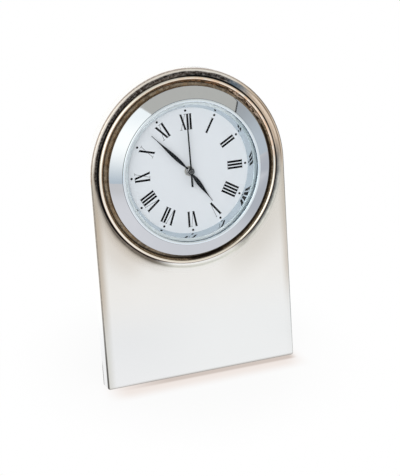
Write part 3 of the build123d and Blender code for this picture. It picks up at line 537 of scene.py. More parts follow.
class Shading:
    """Node tree with short ways to add nodes to it."""

    def __init__(self, tree):
        self.tree = tree

    def node(self, kind, inputs=None, **settings):
        """New node with its settings, and with its inputs set or linked."""
        made = self.tree.nodes.new(kind)
        for name, value in settings.items():
            setattr(made, name, value)
        for socket, value in (inputs or {}).items():
            self.feed(made.inputs[socket], value)
        return made

    def feed(self, socket, value):
        """Links an output to a socket, or sets the socket to a value."""
        if isinstance(value, bpy.types.NodeSocket):
            self.tree.links.new(value, socket)
        else:
            socket.default_value = value

    def maths(self, operation, first, second=0.0):
        """Result of an operation on one value or two."""
        return self.node("ShaderNodeMath", {0: first, 1: second}, operation=operation).outputs[0]

    def vector_maths(self, operation, inputs, output):
        """Named output of an operation on vectors."""
        return self.node("ShaderNodeVectorMath", inputs, operation=operation).outputs[output]

    def product(self, *values):
        """All the values multiplied."""
        result = values[0]
        for value in values[1:]:
            result = self.maths("MULTIPLY", result, value)
        return result

    def total(self, *values):
        """Sum of all the values."""
        result = values[0]
        for value in values[1:]:
            result = self.maths("ADD", result, value)
        return result

    def larger(self, first, second):
        """Larger of two values."""
        return self.maths("MAXIMUM", first, second)

    def parts(self, vector):
        """The three parts of a vector."""
        return self.node("ShaderNodeSeparateXYZ", {0: vector}).outputs

    def spread(self, value, low, high, to_low=0.0, to_high=1.0):
        """Smooth step from one level to another between two values."""
        inputs = {"Value": value, "From Min": low, "From Max": high, "To Min": to_low, "To Max": to_high}
        return self.node("ShaderNodeMapRange", inputs, interpolation_type="SMOOTHSTEP").outputs[0]

    def fall(self, value, low, high, level=1.0):
        """Smooth step from a level down to nought between two values."""
        return self.spread(value, low, high, level, 0.0)

    def band(self, value, low, high, soft):
        """One between two values and nought outside, with soft ends."""
        rise = self.spread(value, self.total(low, -soft), self.total(low, soft))
        fall = self.fall(value, self.total(high, -soft), self.total(high, soft))
        return self.product(rise, fall)

    def mix(self, share, first, second):
        """Tone between two tones: the first at a share of nought, the second at one."""
        made = self.node("ShaderNodeMix", {"Factor": share}, data_type="RGBA")
        for socket, value in ((MIX_FIRST, first), (MIX_SECOND, second)):
            linked = isinstance(value, bpy.types.NodeSocket)
            self.feed(made.inputs[socket], value if linked else (*value, OPAQUE))
        return made.outputs[MIX_RESULT]

    def noise(self, place, scale, detail=3.0, roughness=0.55):
        """Cloudy pattern from nought to one, with a number of features for each unit of length."""
        inputs = {"Vector": place, "Scale": scale, "Detail": detail, "Roughness": roughness}
        return self.node("ShaderNodeTexNoise", inputs).outputs["Fac"]


class Finish(Shading):
    """Material with one principled shader."""

    def __init__(self, name, tone=(0.8, 0.8, 0.8), roughness=0.5, metallic=0.0):
        self.material = bpy.data.materials.new(name)
        self.material.use_nodes = True
        super().__init__(self.material.node_tree)
        self.shader = self.tree.nodes["Principled BSDF"]
        self.set("Base Color", (*tone, OPAQUE))
        self.set("Roughness", roughness)
        self.set("Metallic", metallic)

    def set(self, socket, value):
        """Sets or links one of the shader's inputs."""
        self.feed(self.shader.inputs[socket], value)

    def object_place(self):
        """Place in the shared frame, in metres."""
        return self.node("ShaderNodeTexCoord").outputs["Object"]

    def mapped(self, place, vector_type="POINT", **inputs):
        """Place moved, turned or stretched."""
        inputs = {"Vector": place, **inputs}
        return self.node("ShaderNodeMapping", inputs, vector_type=vector_type).outputs["Vector"]

    def bump(self, height, depth):
        """Relief on the surface, of a depth in metres."""
        made = self.node("ShaderNodeBump", {"Height": height, "Distance": depth, "Strength": 1.0})
        self.set("Normal", made.outputs["Normal"])


class ClockFinish(Finish):
    """Material laid out in the clock's frame: place in mm, its parts, its radius from the dial's axis,
    and the sine and cosine of its angle clockwise from 12."""

    def __init__(self, name, **shader_values):
        super().__init__(name, **shader_values)
        rotation = (pi / 2 - LEAN, 0.0, 0.0)
        frame_values = {"Location": tuple(DIAL_CENTRE), "Rotation": rotation, "Scale": (MM, MM, MM)}
        self.place = self.mapped(self.object_place(), "TEXTURE", **frame_values)
        self.x, self.y, self.z = self.parts(self.place)
        flat = self.vector_maths("MULTIPLY", {0: self.place, 1: (1.0, 1.0, 0.0)}, "Vector")
        self.radius = self.vector_maths("LENGTH", {0: flat}, "Value")
        self.across = self.maths("DIVIDE", self.x, self.radius)
        self.upward = self.maths("DIVIDE", self.y, self.radius)

    def facing(self, angle):
        """Cosine of the angle between a place's direction on the dial and a given one."""
        turn = radians(angle)
        return self.total(self.product(self.upward, cos(turn)), self.product(self.across, sin(turn)))

    def beside(self, side):
        """One near a direction on the dial and nought further away."""
        return self.spread(self.facing(side.middle), cos(radians(side.gone)), cos(radians(side.full)))


# Silver plate: patterns as features per mm, detail and roughness; the streaks are counted per
# radian round the dial and per mm of radius
PLATE_CLOUDS = (0.05, 4.0)
PLATE_BLOTS = (0.16, 3.0)
PLATE_SCUFFS = (1.1, 5.0, 0.65)
PLATE_STREAKS = (1.0, 5.0, 0.65)
PLATE_CHIPS = (1.0, 2.0)
STREAKS_ROUND = 1.6
STREAKS_ACROSS = 2.0
CHIP_STRETCH = (9.0, 0.4, 1.0)

# Flat face and its margins: spans in mm from one place to another, tones in pairs
SILVER_TONES = ((0.94, 0.935, 0.925), (0.96, 0.957, 0.95))
FACE_EDGE = shifted(-EDGE_ROUND, 0.05, 0.4)
LOW_FACE = shifted(-DIAL_HEIGHT, 16.4, 40.4)
LOW_FACE_ACROSS = shifted(-ARCH_RADIUS, 2.0, 50.0)
LOW_FACE_TONES = ((0.86, 0.872, 0.89), (0.91, 0.925, 0.935))
RIGHT_HALF = (-5.0, 5.0)
MARGIN = shifted(ARCH_RADIUS, -4.0, -0.4)
MARGIN_SHARES = (0.9, 0.65)
MARGIN_TONES = ((0.58, 0.51, 0.43), (0.68, 0.68, 0.65))
LOW_RIGHT_MARGIN_CUT = 0.85
ARCH_START = (0.0, 12.0)
ARCH_MARGIN_TONE = (0.92, 0.85, 0.80)
SMOKE = Haze(Side(234.0, 42.0, 12.0), shifted(BEAD_RADIUS, 2.0, 6.5), 0.45, (0.42, 0.35, 0.28))
WARM_TINT = Haze(Side(234.0, 26.0, 8.0), shifted(BEAD_RADIUS, 5.0, 16.0), 0.28, (0.50, 0.39, 0.27))
GREY_VEIL = Haze(Side(124.0, 46.0, 14.0), shifted(BEAD_RADIUS, 4.0, 18.0), 0.3, (0.52, 0.47, 0.39))

# Tan shoulder at the right
SHOULDER_SIDE = Side(62.0, 38.0, 12.0)
SHOULDER_START = shifted(BEAD_RADIUS, 0.7, 1.1)
TAN_STREAKS = (0.35, 0.6)
TAN_TONES = ((0.46, 0.34, 0.24), (0.84, 0.69, 0.55))
TAN_SHARE = 0.9
SHOULDER_LINE = shifted(BEAD_RADIUS, 2.65, 2.95)
SHOULDER_LINE_SOFT = 0.12
SHOULDER_LINE_SIDE = Side(70.0, 26.0, 14.0)
SHOULDER_LINE_SHARE = 0.75
SHOULDER_LINE_TONE = (0.10, 0.06, 0.04)

# Tarnish in the hollow
HOLLOW_START = shifted(BEAD_RADIUS, 0.5, 0.7)
SHELTERED_SIDE = Side(302.0, 110.0, 92.0)
GREY_SIDE = Side(115.0, 42.0, 16.0)
SMOKY_SIDE = Side(232.0, 42.0, 20.0)
TARNISH_END = BEAD_RADIUS + 2.6
BLOT_REACH = 1.0
SMOKY_REACH = 0.4
TARNISH_FADE = 0.6
SMOKY_FADE = 1.6
GREY_FADE = 1.7
BROWN_STREAKS = (0.46, 0.56)
STAIN_TONES = ((0.008, 0.007, 0.007), (0.075, 0.053, 0.040))
GREY_STREAKS = (0.58, 0.72)
GREY_STREAK_TONE = (0.24, 0.24, 0.25)
SMOKY_START = shifted(BEAD_RADIUS, 0.9, 1.5)
SMOKY_SCUFFS = (0.35, 0.6)
SMOKY_TONES = ((0.10, 0.075, 0.06), (0.26, 0.22, 0.19))
GREY_PATCH_TONE = (0.10, 0.105, 0.11)
BLUE_SIDE = Side(37.0, 10.0, 4.0)
BLUE_TONE = (0.11, 0.15, 0.19)
STAIN_SCUFFS = (0.3, 0.6)
STAIN_SHARES = (0.8, 1.0)

# Wear and a painted highlight on the bead, from its crest
HIGHLIGHT_DIRECTION = 301.0
CREST_SHIFT = 0.05
CREST_SWAY = 0.32
COPPER_SIDE = Side(45.0, 60.0, 25.0)
COPPER_SCUFFS = (0.35, 0.65)
COPPER_TONES = ((0.34, 0.21, 0.12), (0.55, 0.38, 0.25))
FLANK_START = BEAD_RADIUS - 0.7
LINE_START = 0.5
LINE_END = 0.75
LINE_LEFT = 0.7
LINE_COPPER = 0.45
LINE_GREY = 0.45
LINE_SOFT = 0.1
LINE_SHELTER = (0.0, 0.4)
LINE_SHARES = (0.7, 1.0)
LINE_TONES = ((0.045, 0.03, 0.02), (0.006, 0.006, 0.007))
HIGHLIGHT_HALF = 0.38
HIGHLIGHT_SOFT = 0.12
HIGHLIGHT_CHIPS = (0.3, 0.7)
HIGHLIGHT_TONES = ((0.98, 0.92, 0.84), (0.92, 0.66, 0.48))

# Brown and gold throat, with painted shade in its depth and painted glints
THROAT_EDGE = shifted(BEAD_RADIUS, -0.8, -0.55)
GOLD_SCUFFS = (0.38, 0.62)
GOLD_TONES = ((0.24, 0.175, 0.10), (0.66, 0.53, 0.36))
THROAT_SHADE_SIDE = Side(125.0, 65.0, 35.0)
THROAT_SHADE_RISE = 0.32
THROAT_SHADE_DEPTH = shifted(-THROAT_DEPTH, 0.4, 1.25)
THROAT_SHADE_SHARE = 0.94
THROAT_SHADE_TONE = (0.016, 0.010, 0.006)
THROAT_COPPER_SIDE = Side(18.0, 42.0, 24.0)
THROAT_COPPER_SHARE = 0.7
THROAT_COPPER_CHIPS = (0.45, 0.6)
THROAT_COPPER_TONES = ((0.07, 0.035, 0.018), (0.85, 0.46, 0.24))
GLINT_SIDE = Side(47.0, 20.0, 10.0)
GLINT_SPOTS = (0.46, 0.54)
GLINT_TONE = (1.0, 0.82, 0.68)
BLACK_SIDE = Side(172.0, 14.0, 9.0)
BLACK_SHARE = 0.9
BLACK_TONE = (0.006, 0.004, 0.003)

# Painted shade and reflection lines on the plate's edges
EDGE_LINE = shifted(-EDGE_ROUND, 0.2, 0.8)
EDGE_LINE_SOFT = 0.06
EDGE_START = shifted(ARCH_RADIUS, -1.3, -1.1)
EDGE_SCUFFS = (0.3, 0.6)
EDGE_SHARES = (0.4, 0.65)
EDGE_TONES = ((0.16, 0.15, 0.13), (0.26, 0.17, 0.125))
BROWN_EDGE_SIDE = Side(75.0, 42.0, 28.0)
BROWN_EDGE_SHARE = 0.25
BROWN_EDGE_TONE = (0.08, 0.05, 0.035)
FOOT_LINE = shifted(-DIAL_HEIGHT, 0.2, 1.4)
FOOT_LINE_ACROSS = shifted(-ARCH_RADIUS, 0.5, 20.0)
FOOT_LINE_SHARES = (0.35, 0.7)
FOOT_LINE_TONE = (0.32, 0.275, 0.24)
DARK_EDGE_TONE = (0.05, 0.045, 0.04)
LEFT_LINE_ACROSS = shifted(-ARCH_RADIUS, 0.3, 0.7)
LEFT_LINE_HEIGHT = shifted(-DIAL_HEIGHT, 4.4, 42.4)
LEFT_LINE_DEPTH = shifted(-EDGE_ROUND, -0.1, 0.1)
LEFT_LINE_SHARE = 0.8
REAR_LINE_DEPTH = shifted(-SHELL_DEPTH, 0.6, 0.8)
REAR_LINE_HEIGHT = shifted(-DIAL_HEIGHT, 7.4, 11.4)
REAR_LINE_ACROSS = shifted(-ARCH_RADIUS, 0.05, 0.4)
REAR_LINE_SHARE = 0.9

# Polish of the plate
PLATE_POLISH = (0.10, 0.16)
THROAT_METAL = 0.4
DULL_END = shifted(BEAD_RADIUS, 3.0, 5.0)
DULL_SHARE = 0.22
PLATE_RELIEF = 0.00002


class PlateFinish(ClockFinish):
    """Polished silver with clouds; each further method lays one kind of mark over the tone so far: wear,
    tarnish, painted shade and painted highlights.
    """

    def __init__(self):
        super().__init__("polished_silver")
        self.clouds = self.noise(self.place, *PLATE_CLOUDS)
        self.blots = self.noise(self.place, *PLATE_BLOTS)
        self.scuffs = self.noise(self.place, *PLATE_SCUFFS)
        turn = self.product(self.maths("ARCTAN2", self.x, self.y), STREAKS_ROUND)
        rings = self.product(self.radius, STREAKS_ACROSS)
        along = self.node("ShaderNodeCombineXYZ", {0: turn, 1: rings, 2: self.z}).outputs[0]
        self.streaks = self.noise(along, *PLATE_STREAKS)
        self.chips = self.noise(self.mapped(along, Scale=CHIP_STRETCH), *PLATE_CHIPS)
        self.above = self.maths("GREATER_THAN", self.y, 0.0)
        self.face = self.spread(self.z, *FACE_EDGE)
        self.hollow = self.spread(self.radius, *HOLLOW_START)
        self.throat = self.fall(self.radius, *THROAT_EDGE)
        self.grey_patch = self.beside(GREY_SIDE)
        self.sheltered = self.larger(self.beside(SHELTERED_SIDE), self.grey_patch)
        self.tone = self.mix(self.clouds, *SILVER_TONES)

    def lay(self, share, tone):
        """Lays a share of another tone over the tone so far."""
        self.tone = self.mix(share, self.tone, tone)

    def margins(self):
        """Darker, cooler tone on the lower face, and margins that are darker and warmer, but for the lower
        right one."""
        lower = self.fall(self.y, *LOW_FACE)
        self.lay(lower, self.mix(self.spread(self.x, *LOW_FACE_ACROSS), *LOW_FACE_TONES))
        right = self.spread(self.x, *RIGHT_HALF)
        margin_tone = self.mix(lower, *MARGIN_TONES)
        margin_tone = self.mix(self.spread(self.y, *ARCH_START), margin_tone, ARCH_MARGIN_TONE)
        reach = self.larger(self.maths("ABSOLUTE", self.x), self.product(self.radius, self.above))
        margin_strength = self.total(1.0, self.product(right, lower, -LOW_RIGHT_MARGIN_CUT))
        margin = self.product(self.spread(reach, *MARGIN), self.face, margin_strength)
        self.lay(self.product(margin, self.spread(right, 0.0, 1.0, *MARGIN_SHARES)), margin_tone)

    def hazes(self):
        """Smoke and a warm tint at the lower left of the opening, a grey veil at its lower right."""
        for haze in (SMOKE, WARM_TINT, GREY_VEIL):
            fading = self.fall(self.radius, *haze.span, haze.share)
            self.lay(self.product(fading, self.beside(haze.side), self.face), haze.tone)

    def tan_shoulder(self):
        """Tan streaks and a dark line on the shoulder at the right."""
        shoulder = self.product(self.beside(SHOULDER_SIDE), self.spread(self.radius, *SHOULDER_START))
        shoulder = self.product(shoulder, self.face)
        tan_tone = self.mix(self.spread(self.streaks, *TAN_STREAKS), *TAN_TONES)
        self.lay(self.product(shoulder, TAN_SHARE), tan_tone)
        line = self.band(self.radius, *SHOULDER_LINE, SHOULDER_LINE_SOFT)
        line = self.product(line, self.beside(SHOULDER_LINE_SIDE))
        self.lay(self.product(line, SHOULDER_LINE_SHARE), SHOULDER_LINE_TONE)

    def hollow_tarnish(self):
        """Streaks of black, brown and grey in the hollow outside the bead, but for its lowest part."""
        smoky = self.beside(SMOKY_SIDE)
        end = self.total(TARNISH_END, self.product(self.blots, BLOT_REACH))
        end = self.total(end, self.product(smoky, SMOKY_REACH))
        fade = self.total(-TARNISH_FADE, self.product(smoky, -SMOKY_FADE))
        fade = self.total(fade, self.product(self.grey_patch, -GREY_FADE))
        tarnished = self.fall(self.radius, self.total(end, fade), end)
        tarnished = self.product(tarnished, self.hollow, self.face)
        stain = self.mix(self.spread(self.streaks, *BROWN_STREAKS), *STAIN_TONES)
        stain = self.mix(self.spread(self.streaks, *GREY_STREAKS), stain, GREY_STREAK_TONE)
        smoky_tone = self.mix(self.spread(self.scuffs, *SMOKY_SCUFFS), *SMOKY_TONES)
        stain = self.mix(self.product(smoky, self.spread(self.radius, *SMOKY_START)), stain, smoky_tone)
        stain = self.mix(self.grey_patch, stain, GREY_PATCH_TONE)
        stain = self.mix(self.beside(BLUE_SIDE), stain, BLUE_TONE)
        scuffed = self.spread(self.scuffs, *STAIN_SCUFFS, *STAIN_SHARES)
        self.lay(self.product(tarnished, self.sheltered, scuffed), stain)

    def bead_wear_and_highlight(self):
        """Painted highlight along the bead's crest, swayed towards the upper left, between a copper-toned
        flank and a dark line of tarnish and painted shade.
        """
        sway = self.product(self.facing(HIGHLIGHT_DIRECTION), CREST_SWAY)
        crest = self.total(BEAD_RADIUS - CREST_SHIFT, sway)
        left = self.larger(self.product(self.across, -1.0), 0.0)
        copper_side = self.beside(COPPER_SIDE)
        line_start = self.total(crest, LINE_START)
        line_end = self.total(crest, LINE_END, self.product(left, left, left, LINE_LEFT))
        line_end = self.total(line_end, self.product(copper_side, LINE_COPPER))
        line_end = self.total(line_end, self.product(self.grey_patch, LINE_GREY))
        copper = self.mix(self.spread(self.scuffs, *COPPER_SCUFFS), *COPPER_TONES)
        self.lay(self.band(self.radius, FLANK_START, line_start, LINE_SOFT), copper)
        # Dark line in the valley outside the bead: tarnish with painted shade.
        line = self.band(self.radius, line_start, line_end, LINE_SOFT)
        line_share = self.larger(self.spread(self.sheltered, *LINE_SHELTER, *LINE_SHARES), copper_side)
        self.lay(self.product(line, line_share), self.mix(self.sheltered, *LINE_TONES))
        # Painted highlight: a bright band on the crest that sways towards the upper left, tinged orange by
        # chips at the upper right.
        highlight_start = self.total(crest, -HIGHLIGHT_HALF)
        highlight_end = self.total(crest, HIGHLIGHT_HALF)
        highlight = self.band(self.radius, highlight_start, highlight_end, HIGHLIGHT_SOFT)
        chipped = self.product(copper_side, self.spread(self.chips, *HIGHLIGHT_CHIPS))
        self.lay(highlight, self.mix(chipped, *HIGHLIGHT_TONES))

    def gilt_throat(self):
        """Brown and gold throat, with painted shade in its depth, copper chips and painted glints at the
        upper right, and a black place below."""
        gold = self.mix(self.spread(self.scuffs, *GOLD_SCUFFS), *GOLD_TONES)
        # Painted shade: the throat darkens with depth, reaching higher up it at the lower right.
        shade_depth_and_mottle = self.total(self.z, self.product(self.beside(THROAT_SHADE_SIDE), -THROAT_SHADE_RISE))
        gold = self.mix(self.fall(shade_depth_and_mottle, *THROAT_SHADE_DEPTH, THROAT_SHADE_SHARE), gold, THROAT_SHADE_TONE)
        copper = self.mix(self.spread(self.chips, *THROAT_COPPER_CHIPS), *THROAT_COPPER_TONES)
        gold = self.mix(self.product(self.beside(THROAT_COPPER_SIDE), THROAT_COPPER_SHARE), gold, copper)
        # Painted glints: bright flecks at the upper right.
        bright = self.product(self.beside(GLINT_SIDE), self.spread(self.chips, *GLINT_SPOTS))
        gold = self.mix(bright, gold, GLINT_TONE)
        gold = self.mix(self.product(self.beside(BLACK_SIDE), BLACK_SHARE), gold, BLACK_TONE)
        self.lay(self.throat, gold)

    def edge_lines(self):
        """Painted dark reflection line round the rounded edge, browner at the right; painted shade lines
        along the foot, down the lower left edge and on its rear."""
        # Painted reflection: a dark line round the rounded edge, browner at the right.
        edge = self.band(self.z, *EDGE_LINE, EDGE_LINE_SOFT)
        edge = self.product(edge, self.spread(self.radius, *EDGE_START))
        brown = self.beside(BROWN_EDGE_SIDE)
        edge_tone = self.mix(brown, self.mix(self.above, *EDGE_TONES), BROWN_EDGE_TONE)
        brown_share = self.product(brown, BROWN_EDGE_SHARE)
        edge_share = self.total(self.spread(self.scuffs, *EDGE_SCUFFS, *EDGE_SHARES), brown_share)
        self.lay(self.product(edge, edge_share), edge_tone)
        # Painted shade along the foot, down the lower left edge and on its rear.
        foot_share = self.spread(self.x, *FOOT_LINE_ACROSS, *FOOT_LINE_SHARES)
        self.lay(self.product(self.fall(self.y, *FOOT_LINE), foot_share, self.face), FOOT_LINE_TONE)
        left_share = self.fall(self.y, *LEFT_LINE_HEIGHT, LEFT_LINE_SHARE)
        left = self.product(self.fall(self.x, *LEFT_LINE_ACROSS), left_share)
        self.lay(self.product(left, self.spread(self.z, *LEFT_LINE_DEPTH)), DARK_EDGE_TONE)
        rear = self.product(self.fall(self.z, *REAR_LINE_DEPTH), self.fall(self.y, *REAR_LINE_HEIGHT))
        rear_share = self.fall(self.x, *REAR_LINE_ACROSS, REAR_LINE_SHARE)
        self.lay(self.product(rear, rear_share), DARK_EDGE_TONE)

    def polish(self):
        """Gives the shader the tone, with a high polish that is duller in the hollow and the throat."""
        self.set("Base Color", self.tone)
        self.set("Metallic", self.spread(self.throat, 0.0, 1.0, 1.0, THROAT_METAL))
        dulled = self.larger(self.throat, self.product(self.hollow, self.fall(self.radius, *DULL_END)))
        shine = self.spread(self.scuffs, *NOISE_RANGE, *PLATE_POLISH)
        self.set("Roughness", self.total(shine, self.product(dulled, DULL_SHARE)))
        self.bump(self.clouds, PLATE_RELIEF)


def silver_plate():
    """Polished silver with all its wear, tarnish, painted shade and painted highlights."""
    look = PlateFinish()
    look.margins()
    look.hazes()
    look.tan_shoulder()
    look.hollow_tarnish()
    look.bead_wear_and_highlight()
    look.gilt_throat()
    look.edge_lines()
    look.polish()
    return look.material


# Bezel
CHROME_CLOUDS = (0.35, 4.0)
CHROME_TONES = ((0.60, 0.62, 0.67), (0.63, 0.65, 0.70))
CHROME_POLISH = (0.03, 0.06)
LIP_EDGE = shifted(LIP_RADIUS, -0.05, 0.05)
LIP_HIGHLIGHT_TONE = (0.80, 0.88, 0.96)
CREASE = shifted(LIP_RADIUS, -0.02, 0.1)
CREASE_SOFT = 0.05
CREASE_SHARE = 0.75
CREASE_SHADE_TONE = (0.12, 0.13, 0.15)
WALL_EDGE = shifted(BEZEL_RADIUS, -0.12, -0.02)
WALL_MOTTLE = (0.9, 5.0)
WALL_MOTTLE_SPAN = (0.35, 0.65)
WALL_TONES = ((0.26, 0.19, 0.13), (0.54, 0.44, 0.33))
WALL_DULL = 0.45


def bezel_chrome():
    """Bright plating with a slight cloudiness, a painted highlight that makes the raised lip brighter than
    the cone, painted shade in the crease beside it, and the wall in the groove rougher and mottled brown."""
    look = ClockFinish("bezel_chrome", metallic=1.0)
    clouds = look.noise(look.place, *CHROME_CLOUDS)
    # Painted highlight: the lip's tone is brighter than the cone's.
    tone = look.mix(look.fall(look.radius, *LIP_EDGE), look.mix(clouds, *CHROME_TONES), LIP_HIGHLIGHT_TONE)
    # Painted shade in the crease where the cone meets the lip.
    crease = look.band(look.radius, *CREASE, CREASE_SOFT)
    tone = look.mix(look.product(crease, CREASE_SHARE), tone, CREASE_SHADE_TONE)
    wall = look.spread(look.radius, *WALL_EDGE)
    shade_depth_and_mottle = look.spread(look.noise(look.place, *WALL_MOTTLE), *WALL_MOTTLE_SPAN)
    look.set("Base Color", look.mix(wall, tone, look.mix(shade_depth_and_mottle, *WALL_TONES)))
    polish = look.spread(clouds, *NOISE_RANGE, *CHROME_POLISH)
    look.set("Roughness", look.total(polish, look.product(wall, WALL_DULL)))
    return look.material


# Reflector ring
MIRROR_CLOUDS = (0.5, 4.0)
MIRROR_TONES = ((0.60, 0.67, 0.72), (0.64, 0.71, 0.76))
MIRROR_POLISH = (0.012, 0.02)
ROLLED_TOP = shifted(REFLECTOR_FRONT, -0.3, -0.1)
ROLLED_SHADE_SIDE = Side(95.0, 62.0, 38.0)
ROLLED_TONES = ((0.78, 0.86, 0.92), (0.53, 0.63, 0.69))
ROLLED_DULL = 0.5


def reflector_mirror():
    """Mirror-bright plating with a slight cloudiness, satin on the rolled top, which painted shade makes
    darker at the right."""
    look = ClockFinish("reflector_mirror", metallic=1.0)
    clouds = look.noise(look.place, *MIRROR_CLOUDS)
    rolled = look.spread(look.z, *ROLLED_TOP)
    # Painted shade: the rolled top is a darker blue-grey at the right.
    rolled_tone = look.mix(look.beside(ROLLED_SHADE_SIDE), *ROLLED_TONES)
    look.set("Base Color", look.mix(rolled, look.mix(clouds, *MIRROR_TONES), rolled_tone))
    polish = look.spread(clouds, *NOISE_RANGE, *MIRROR_POLISH)
    look.set("Roughness", look.total(polish, look.product(rolled, ROLLED_DULL)))
    return look.material


# Glass
GLASS_INDEX = 1.45
GLASS_GLOSS = (0.1, 0.1, 0.1, OPAQUE)


def clear_glass():
    """Thin clear glass with a low gloss."""
    look = Finish("clear_glass", tone=WHITE, roughness=0.0)
    look.set("Transmission Weight", 1.0)
    look.set("IOR", GLASS_INDEX)
    look.set("Specular Tint", GLASS_GLOSS)
    return look.material


# Dial and its print
DIAL_GRAIN = (6.0, 3.0)
DIAL_TONES = ((0.78, 0.825, 0.875), (0.80, 0.845, 0.895))
DIAL_RELIEF = 0.000004
INK_SPECKLE = (9.0, 2.0)
INK_TONES = ((0.003, 0.003, 0.005), (0.006, 0.006, 0.009))
INK_GLOSS = 0.05


def dial_white():
    """Matt white lacquer with a fine tooth."""
    look = ClockFinish("dial_lacquer", roughness=0.55)
    grain = look.noise(look.place, *DIAL_GRAIN)
    look.set("Base Color", look.mix(grain, *DIAL_TONES))
    look.bump(grain, DIAL_RELIEF)
    return look.material


def dial_ink():
    """Black printing ink, slightly uneven."""
    look = ClockFinish("dial_ink")
    look.set("Base Color", look.mix(look.noise(look.place, *INK_SPECKLE), *INK_TONES))
    look.set("Specular IOR Level", INK_GLOSS)
    return look.material


# Hands
HAND_GRAIN = (4.0, 3.0)
HAND_TONES = ((0.006, 0.008, 0.011), (0.012, 0.015, 0.020))
HAND_POLISH = (0.3, 0.45)
HAND_GLOSS = 0.1


def hand_steel():
    """Dark plated steel with a soft grain."""
    look = ClockFinish("hand_steel", metallic=0.1)
    grain = look.noise(look.place, *HAND_GRAIN)
    look.set("Base Color", look.mix(grain, *HAND_TONES))
    look.set("Specular IOR Level", HAND_GLOSS)
    look.set("Roughness", look.spread(grain, *NOISE_RANGE, *HAND_POLISH))
    return look.material


# Wood
GROWTH_STRETCH = (1.0, 0.08, 1.0)
GROWTH_LINES = (0.45, 4.0, 0.6)
GROWTH_SPAN = (0.35, 0.65)
STAINED_TONES = ((0.060, 0.026, 0.012), (0.19, 0.092, 0.042))
WOOD_PORES = (6.0, 2.0, 0.7)
PORE_SPAN = (0.55, 0.75)
PORE_SHARES = (0.0, 0.6)
PORE_TONE = (0.03, 0.014, 0.008)
VARNISH_SPAN = (0.3, 0.7)
VARNISH_POLISH = (0.32, 0.5)
WOOD_RELIEF = 0.00004
BARE_FRONT = shifted(-THROAT_DEPTH, -0.6, -0.2)
BARE_FIBRES = (0.8, 5.0)
BARE_SPAN = (0.35, 0.65)
BARE_TONES = ((0.12, 0.085, 0.05), (0.36, 0.30, 0.22))
BARE_BLOTS = (0.22, 3.0)
BLOT_SPAN = (0.48, 0.62)
BLOT_SHARES = (0.0, 0.55)
BLOT_TONE = (0.31, 0.205, 0.105)
SHADE_SIDE = Side(145.0, 65.0, 45.0)
SHADE_EDGE = shifted(THROAT_RADIUS, -0.5, 0.1)
SHADE_SHARE = 0.85
SHADE_TONE = (0.022, 0.014, 0.008)


def bare_wood(look):
    """Tone of pale bare wood with brown blots, dark at the lower right and close to the throat."""
    tone = look.mix(look.spread(look.noise(look.place, *BARE_FIBRES), *BARE_SPAN), *BARE_TONES)
    blots = look.noise(look.place, *BARE_BLOTS)
    tone = look.mix(look.spread(blots, *BLOT_SPAN, *BLOT_SHARES), tone, BLOT_TONE)
    shade = look.larger(look.beside(SHADE_SIDE), look.spread(look.radius, *SHADE_EDGE))
    return look.mix(look.product(shade, SHADE_SHARE), tone, SHADE_TONE)


def stained_wood(name, swing=0.0):
    """Stained wood with long stretched growth lines up the piece, pores and a varnish, bare and pale in
    the groove at the front; swing is the piece's angle to the plate."""
    look = ClockFinish(name)
    along = look.mapped(look.mapped(look.place, Rotation=(-swing, 0.0, 0.0)), Scale=GROWTH_STRETCH)
    lines = look.noise(along, *GROWTH_LINES)
    pores = look.noise(along, *WOOD_PORES)
    tone = look.mix(look.spread(lines, *GROWTH_SPAN), *STAINED_TONES)
    tone = look.mix(look.spread(pores, *PORE_SPAN, *PORE_SHARES), tone, PORE_TONE)
    look.set("Base Color", look.mix(look.spread(look.z, *BARE_FRONT), tone, bare_wood(look)))
    look.set("Roughness", look.spread(pores, *VARNISH_SPAN, *VARNISH_POLISH))
    look.bump(pores, WOOD_RELIEF)
    return look.material


# Moulded pieces
MOULD_GRAIN = (3.0, 4.0, 0.7)
MOULD_SHADE = 0.82
MOULD_POLISH = (0.85, 1.15)
MOULD_RELIEF = 0.00002
WHEEL_TONES = ((0.51, 0.51, 0.48), (0.62, 0.62, 0.58))
WHEEL_POLISH = (0.42, 0.58)
TIP_START = shifted(DIAL_FRONT, 0.0, 0.2)
TIP_TONE = (0.08, 0.083, 0.088)


def shaded(tone, share):
    """Tone with a share of its light."""
    return tuple(part * share for part in tone)


def moulded(name, tone, roughness=0.5):
    """Moulded piece with a fine spark-eroded texture and slightly uneven colour."""
    look = ClockFinish(name)
    grain = look.noise(look.place, *MOULD_GRAIN)
    look.set("Base Color", look.mix(grain, shaded(tone, MOULD_SHADE), tone))
    look.set("Roughness", look.spread(grain, *NOISE_RANGE, *(roughness * share for share in MOULD_POLISH)))
    look.bump(grain, MOULD_RELIEF)
    return look.material


def tipped_wheel():
    """Pale moulded wheel whose arbor ends in a dark steel tip in front of the dial."""
    look = ClockFinish("tipped_wheel")
    grain = look.noise(look.place, *MOULD_GRAIN)
    tip = look.spread(look.z, *TIP_START)
    look.set("Base Color", look.mix(tip, look.mix(grain, *WHEEL_TONES), TIP_TONE))
    look.set("Roughness", look.spread(grain, *NOISE_RANGE, *WHEEL_POLISH))
    look.bump(grain, MOULD_RELIEF)
    return look.material


# Rolled metal
ROLL_STRETCH = (6.0, 0.4, 6.0)
ROLL_STREAKS = (1.2, 3.0)
ROLL_STAINS = (0.5, 4.0)
ROLL_STAIN_SPAN = (0.35, 0.75)
ROLL_SHADE = 0.72
ROLL_POLISH = (0.75, 1.3)
ROLL_RELIEF = 0.000006


